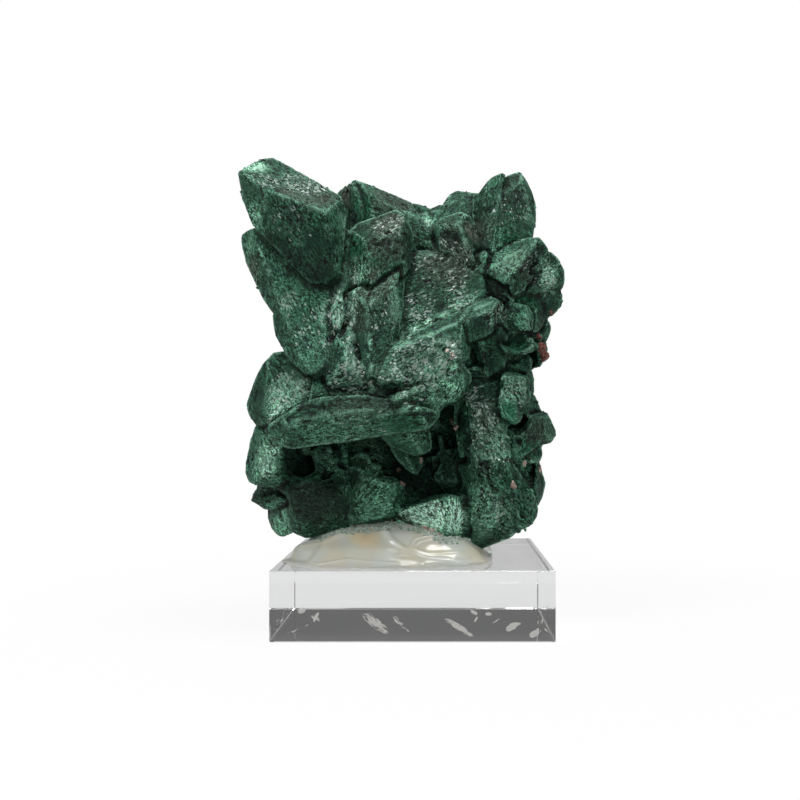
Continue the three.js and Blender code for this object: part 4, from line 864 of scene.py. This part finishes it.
def acrylic_material():
    material, tree, place = new_material("cast_acrylic_polished")
    rubbed = 0
    for x, z, turn, half_length, half_width, solid in SCUFFS:
        local = add(tree, "ShaderNodeMapping", {
            "vector_type": "TEXTURE", "Vector": place, "Location": (x * MM, -BLOCK_HALF, z * MM),
            "Rotation": (0, -math.radians(turn), 0),
            "Scale": (half_length * MM, 0.6 * MM, half_width * MM)})["Vector"]
        strokes = vectors(tree, "MULTIPLY", local, (half_length * MM / STROKE_LENGTH, 0,
                                                    half_width * MM / STROKE_WIDTH))
        strokes = pattern(tree, strokes, 1, 2, distortion=0.3)
        reach = vectors(tree, "LENGTH", local, output="Value")
        solidity = maths(tree, "MULTIPLY_ADD", reach, -0.22, solid)
        spot = times(tree, rise(tree, maths(tree, "ADD", strokes, solidity), 0.4, 0.46),
                     rise(tree, reach, 0.8, 1, 1, 0))
        rubbed = maths(tree, "MAXIMUM", rubbed, spot)
    clear = principled(tree, {"Base Color": "#FAFBFB", "Roughness": 0.035, "IOR": 1.49,
                              "Transmission Weight": 1})
    scuffed = principled(tree, {"Base Color": "#EDEBE6", "Roughness": 0.6, "IOR": 1.49})
    return surfaced(material, either(tree, times(tree, rubbed, 0.85), clear, scuffed))


# The block

block_low, block_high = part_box("acrylic_block")
BLOCK_HALF = block_high.x
BLOCK_TOP = block_high.z


def block_piece():
    shape = bmesh.new()
    bmesh.ops.create_cube(shape, size=1)
    bmesh.ops.scale(shape, vec=block_high - block_low, verts=shape.verts)
    bmesh.ops.translate(shape, vec=(block_low + block_high) / 2, verts=shape.verts)
    made = piece("acrylic_display_block", as_mesh(shape, "block_sharp"))
    bevel = made.modifiers.new("Edges", "BEVEL")
    bevel.width = BLOCK_BEVEL
    bevel.segments = 3
    return finished(made)


# The adhesive

ADHESIVE_OVERLAP = 0.45 * MM
CRUMB_REACH, CRUMB_FRONT = 2.9 * MM, -14 * MM
# The lobes that it set in: middle and half-sizes, in millimetres.
ADHESIVE_LOBES = [
    (-14, -20, 22, 9, 9, 6), (1, -21, 20.5, 10, 8, 5), (-27, -17, 20.5, 8, 9, 4.5),
    (-8, -19, 19.3, 30, 14.5, 1.5), (12, -22, 20, 8, 7, 3.2),
]
# Folds that stand up in its skin: how wide and high they are (millimetres), and corners as seen.
FOLDS = [
    (1.3, 0.9, (-10.8, 27.4), (-6.8, 22.4), (-2.3, 19.4), (2.2, 17.4), (11.7, 16.4)),
    (1.2, 0.7, (-34.4, 20.9), (-27.9, 21.9), (-22.4, 24.9), (-19.4, 26.9)),
    (1, 0.6, (-5.3, 18.1), (5.2, 17.6), (15.7, 17.6)),
    (1, 0.7, (-31.9, 14.6), (-20.9, 16.7), (-14.9, 15.9), (-5.9, 15.5)),
    (1.2, 0.8, (2.7, 15.6), (9.2, 16.2), (15.2, 15.1)),
    (1.1, 0.6, (8, 24.5), (0, 23), (-1.6, 20.5), (3, 18.6), (13, 18.8)),
]
FOLD_STEPS = 14


def folded(places, mesh):
    tree = BVHTree.FromBMesh(opened(mesh))
    lift = np.zeros(len(places), np.float32)
    for width, height, *corners in FOLDS:
        for across, up in walked(corners, FOLD_STEPS):
            hit = tree.ray_cast(EYE, sight(across, up))[0]
            if hit is not None:
                near = 1 - ramp(far(places, hit), 0, width * MM)
                lift = np.maximum(lift, height * MM * near)
    return lift


def adhesive_piece(faces):
    """The mound of adhesive with its folds, closed up against the crystals."""
    mound = merged_copy("adhesive_bed")
    shape = opened(mound)
    for x, y, z, reach_x, reach_y, reach_z in ADHESIVE_LOBES:
        ball = bmesh.ops.create_icosphere(shape, subdivisions=4, radius=MM)["verts"]
        bmesh.ops.scale(shape, vec=(reach_x, reach_y, reach_z), verts=ball)
        bmesh.ops.translate(shape, vec=Vector((x, y, z)) * MM, verts=ball)
    shape.to_mesh(mound)
    shape.free()
    made = remeshed(piece("adhesive_folds", mound), ADHESIVE_VOXEL)
    mesh = made.data
    even = evener(mesh)
    write_places(mesh, even(read(mesh, "co", 3), 8))
    places, normals = surface(mesh)
    height = (places[:, 2] - BLOCK_TOP) / (10 * MM)
    lift = (rough_noise(places / (6 * MM), 211, 2) - 0.5) * 0.8 * MM
    lift = lift * ramp(height, 0, 0.2) + folded(places, mesh)
    gap = searched(faces.tree.find_nearest, places, FACE_AWAY)
    lift = np.where(gap < 0.6 * MM, ADHESIVE_OVERLAP, np.where(gap < 1.5 * MM, 0.2 * MM, lift))
    places = places + normals * even(lift, 2)[:, None]
    places[:, 2] = np.maximum(places[:, 2], BLOCK_TOP + 0.02 * MM)
    write_places(mesh, places)
    crumbs = (gap < CRUMB_REACH) & (places[:, 1] < CRUMB_FRONT)
    clumps = ramp(noise(places / (5 * MM), 220), 0.38, 0.55)
    store(mesh, "crumbs", crumbs * clumps)
    store(mesh, "fibre", np.zeros((len(mesh.polygons), 3)), "FACE")
    mesh.shade_smooth()
    return made


# Small crystals

def sprout_tree(name, where, seed, crystal):
    """Geometry nodes that set small crystals along a surface's fibres."""
    tree = bpy.data.node_groups.new(name, "GeometryNodeTree")
    for way, kind, labels in (("INPUT", "Geometry", ("Surface",)), ("INPUT", "Material", ("Material",)),
                              ("INPUT", "Float", ("Per Square Metre", "Least Size", "Most Size")),
                              ("OUTPUT", "Geometry", ("Crystals",))):
        for label in labels:
            tree.interface.new_socket(label, in_out=way, socket_type="NodeSocket" + kind)
    given = add(tree, "NodeGroupInput")

    def named(label, kind):
        values = {"data_type": kind, "Name": label}
        return add(tree, "GeometryNodeInputNamedAttribute", values)["Attribute"]

    density = times(tree, given["Per Square Metre"], named(where, "FLOAT"))
    points = add(tree, "GeometryNodeDistributePointsOnFaces",
                 {"Seed": seed, "Mesh": given["Surface"], "Density": density})
    lean = vectors(tree, "MULTIPLY_ADD", points["Normal"], (0.35,) * 3, named("fibre", "FLOAT_VECTOR"))
    stray = add(tree, "FunctionNodeRandomValue",
                {"data_type": "FLOAT_VECTOR", "Seed": seed + 1, 0: (-0.55,) * 3, 1: (0.55,) * 3})
    turned = add(tree, "FunctionNodeAlignRotationToVector",
                 {"axis": "Z", "Vector": vectors(tree, "ADD", lean, stray[0])})
    size = add(tree, "FunctionNodeRandomValue", {"data_type": "FLOAT", "Seed": seed + 2,
                                                 2: given["Least Size"], 3: given["Most Size"]})
    shape = add(tree, "GeometryNodeObjectInfo", {"Object": crystal})
    placed = add(tree, "GeometryNodeInstanceOnPoints", {
        "Points": points["Points"], "Instance": shape["Geometry"],
        "Rotation": turned["Rotation"], "Scale": size[1]})
    real = add(tree, "GeometryNodeRealizeInstances", {"Geometry": placed["Instances"]})
    dressed = add(tree, "GeometryNodeSetMaterial",
                  {"Geometry": real["Geometry"], "Material": given["Material"]})
    add(tree, "NodeGroupOutput", {"Crystals": dressed["Geometry"]})
    return tree


def blade_crystal():
    """A small flat crystal with a chisel end, one unit long."""
    shape = bmesh.new()
    rings = []
    for height, half_width, half_depth in ((-0.4, 0.2, 0.12), (0.25, 0.26, 0.14), (0.5, 0.14, 0.05)):
        rings.append([shape.verts.new((x * half_width, y * half_depth, height))
                      for x, y in ((1, 1), (-1, 1), (-1, -1), (1, -1))])
    for lower, upper in zip(rings, rings[1:]):
        for i in range(4):
            j = (i + 1) % 4
            shape.faces.new((lower[i], lower[j], upper[j], upper[i]))
    shape.faces.new(rings[-1])
    shape.faces.new(rings[0][::-1])
    bmesh.ops.triangulate(shape, faces=shape.faces)
    return piece("blade_crystal", as_mesh(shape, "blade_crystal"))


def sprouts(skin, name, where, seed, density, least, most, material):
    """A piece of small crystals on the skin, where its attribute says."""
    crystal = blade_crystal()
    give(crystal, material)
    carrier = piece(name, skin.data.copy())
    tree = sprout_tree(name, where, seed, crystal)
    grow = carrier.modifiers.new("Grow", "NODES")
    grow.node_group = tree
    values = {"Per Square Metre": density, "Least Size": least, "Most Size": most,
              "Material": material}
    for item in tree.interface.items_tree:
        if item.name in values:
            grow[item.identifier] = values[item.name]
    made = finished(carrier)
    discard(crystal)
    return made


# Grains of the matrix that cling to the crystals: where each is seen, and how wide it is.
GRAIN_SUNK = 0.12
TAN_GRAINS = [
    (11.5, 58.5, 3.4), (12.3, 57, 2.2), (10, 79.5, 2.6), (11.2, 78.6, 1.6), (29.5, 39.5, 2.8), (-5, 44, 2),
    (1.5, 47, 2), (-4, 39.8, 1.8), (33, 46, 2.2), (37.5, 44, 2), (4.5, 25.6, 2.6), (2.6, 26.3, 2),
    (7.2, 24.6, 2),
]
RED_GRAINS = [
    (38.2, 81.5, 4.4), (38.8, 78.2, 4.2), (37.6, 84, 2.6), (41.2, 91.5, 2),
]


def grains(name, spots, faces, seed):
    """Angular grains half sunk in the surface, joined in one piece."""
    shape = bmesh.new()
    random = np.random.default_rng(seed)
    for across, up, width in spots:
        place, normal, _ = faces.seen(across, up)
        made = bmesh.ops.create_icosphere(shape, subdivisions=4, radius=width * MM / 2)
        corners = np.array([v.co for v in made["verts"]])
        lumps = rough_noise(corners / (0.8 * MM) + random.uniform(0, 90, 3), seed, 2)
        corners *= 0.75 + 0.5 * lumps[:, None]
        for way in random.normal(size=(9, 3)):
            way /= np.linalg.norm(way)
            beyond = np.maximum(corners @ way - random.uniform(0.45, 0.8) * width * MM / 2, 0)
            corners -= np.outer(beyond, way)
        for vertex, corner in zip(made["verts"], corners + place - normal * width * MM * GRAIN_SUNK):
            vertex.co = corner
    made = piece(name, as_mesh(shape, name))
    made.data.shade_flat()
    return made


# Matrix: weathered granular rock, tan, or stained red by iron.
def matrix_material(name, light, dark):
    material, tree, place = new_material(name)
    specks = pattern(tree, place, 0.7 * MM, 3)
    body = blend(tree, rise(tree, specks, 0.35, 0.65), dark, light)
    return surfaced(material, principled(tree, {
        "Base Color": body, "Roughness": 0.75, "Normal": bumped(tree, specks, 0.8, 0.25 * MM)}))


# Stage
FLOOR_RADIUS = 3
FLOOR_GAP = 0.05 * MM
FLOOR_FADE = (0.06, 0.2)
FLOOR_BOUNCE, FLOOR_THROUGH = 0.22, 0.78
SKY_BRIGHT, SKY_DARK = 0.33, 0.11


def stage_floor():
    """A pale table top that brightens to white away from the object."""
    shape = bmesh.new()
    bmesh.ops.create_circle(shape, cap_ends=True, segments=96, radius=FLOOR_RADIUS)
    bmesh.ops.translate(shape, vec=(0, 0, -FLOOR_GAP), verts=shape.verts)
    floor = piece("table_top", as_mesh(shape, "table_top"))
    material, tree, place = new_material("table_top_pale_paper")
    away = vectors(tree, "LENGTH", place, output="Value")
    paper = add(tree, "ShaderNodeBsdfDiffuse", {"Color": "#F2F2F1"})
    kind = add(tree, "ShaderNodeLightPath")
    bright = times(tree, rise(tree, kind["Is Diffuse Ray"], 0, 1, 1, FLOOR_BOUNCE),
                   rise(tree, kind["Is Transmission Ray"], 0, 1, 1, FLOOR_THROUGH))
    glow = add(tree, "ShaderNodeEmission", {"Color": WHITE, "Strength": bright})
    white = rise(tree, away, *FLOOR_FADE, 0.9)
    give(floor, surfaced(material, either(tree, white, paper[0], glow[0])))


def studio_world():
    """White to the eye, soft light from above, and a dark strip low down that clear things show."""
    world = bpy.data.worlds.new("studio")
    bpy.context.scene.world = world
    world.use_nodes = True
    tree = world.node_tree
    tree.nodes.clear()
    way = add(tree, "ShaderNodeTexCoord")["Generated"]
    up = add(tree, "ShaderNodeSeparateXYZ", {0: way})["Z"]
    kind = add(tree, "ShaderNodeLightPath")
    through = maths(tree, "ADD", rise(tree, up, 0.22, 0.36, SKY_DARK, 0.66),
                    rise(tree, up, 0.04, 0.14, 0.66, 0))
    glossy = maths(tree, "ADD", rise(tree, up, 0.3, 0.9, 0.05, 0.5), rise(tree, up, 0.16, 0.24, 0.5, 0))
    strength = rise(tree, up, 0, 0.9, 0.08, SKY_BRIGHT)
    for ray, seen in (("Glossy", glossy), ("Transmission", through), ("Camera", WHITE)):
        strength = blend(tree, kind["Is " + ray + " Ray"], strength, seen)
    glow = add(tree, "ShaderNodeBackground", {"Color": strength})
    add(tree, "ShaderNodeOutputWorld", {"Surface": glow[0]})


# Soft lights, aimed at the specimen: name, place, size and watts.
LIGHTS = [
    ("key", (-0.42, -0.3, 0.52), 0.2, 1.7), ("top", (0.1, -0.06, 0.75), 0.3, 2.9),
    ("front", (0.25, -0.76, 0.2), 0.5, 1.15),
]
AIM = Vector((0, 0, 0.08))


def studio_lights():
    for name, spot, size, watts in LIGHTS:
        light = bpy.data.lights.new(name, "AREA")
        light.shape = "DISK"
        light.size = size
        light.energy = watts
        lamp = piece(name, light)
        lamp.location = spot
        lamp.visible_glossy = lamp.visible_transmission = name != "front"
        lamp.rotation_euler = (AIM - Vector(spot)).to_track_quat("-Z", "Y").to_euler()


def place_camera():
    lens = bpy.data.cameras.new("camera")
    lens.sensor_width = SENSOR
    lens.lens = SENSOR * FOCAL_PIXELS / IMAGE_SIDE
    lens.shift_x = 0.5 - CENTRE_PIXEL[0] / IMAGE_SIDE
    lens.shift_y = CENTRE_PIXEL[1] / IMAGE_SIDE - 0.5
    lens.clip_start = 0.01
    camera = piece("camera", lens)
    camera.location = EYE
    camera.rotation_euler = (math.pi / 2, 0, 0)
    bpy.context.scene.camera = camera


# Build

solid = merged_copy("crystal_cluster")
faces = CrystalFaces(solid)
bpy.data.meshes.remove(solid)

malachite = malachite_material()
skin = crystal_skin(faces)
give(skin, malachite)

adhesive = adhesive_piece(faces)
give(adhesive, adhesive_material())
block = block_piece()
give(block, acrylic_material())
block.visible_shadow = False
druse = sprouts(skin, "druse_crystals", "drusy", 7, 400000, 0.5 * MM, 1.3 * MM, malachite)
shards = sprouts(skin, "shard_crystals", "shards", 27, 260000, 1.4 * MM, 3.6 * MM, malachite)
crumbs = sprouts(adhesive, "crumbs_in_adhesive", "crumbs", 17, 2500000, 0.6 * MM, 1.4 * MM,
                 matrix_material("malachite_crumbs", "#C9D4CA", "#7D998A"))
tan = grains("matrix_grains_tan", TAN_GRAINS, faces, 301)
give(tan, matrix_material("matrix_tan", "#D8C4B8", "#93796B"))
red = grains("matrix_grains_red", RED_GRAINS, faces, 302)
give(red, matrix_material("matrix_iron_stained", "#A06A5E", "#5A3630"))

stage_floor()
studio_world()
studio_lights()
place_camera()
bpy.context.scene.view_settings.view_transform = "Standard"

for slot, pieces in (("malachite", (skin, druse, shards, crumbs, tan, red)), ("adhesive", (adhesive,)),
                     ("acrylic", (block,))):
    for made in pieces:
        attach(made, "root")
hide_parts("crystal_cluster")
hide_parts("adhesive_bed")
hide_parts("acrylic_block")
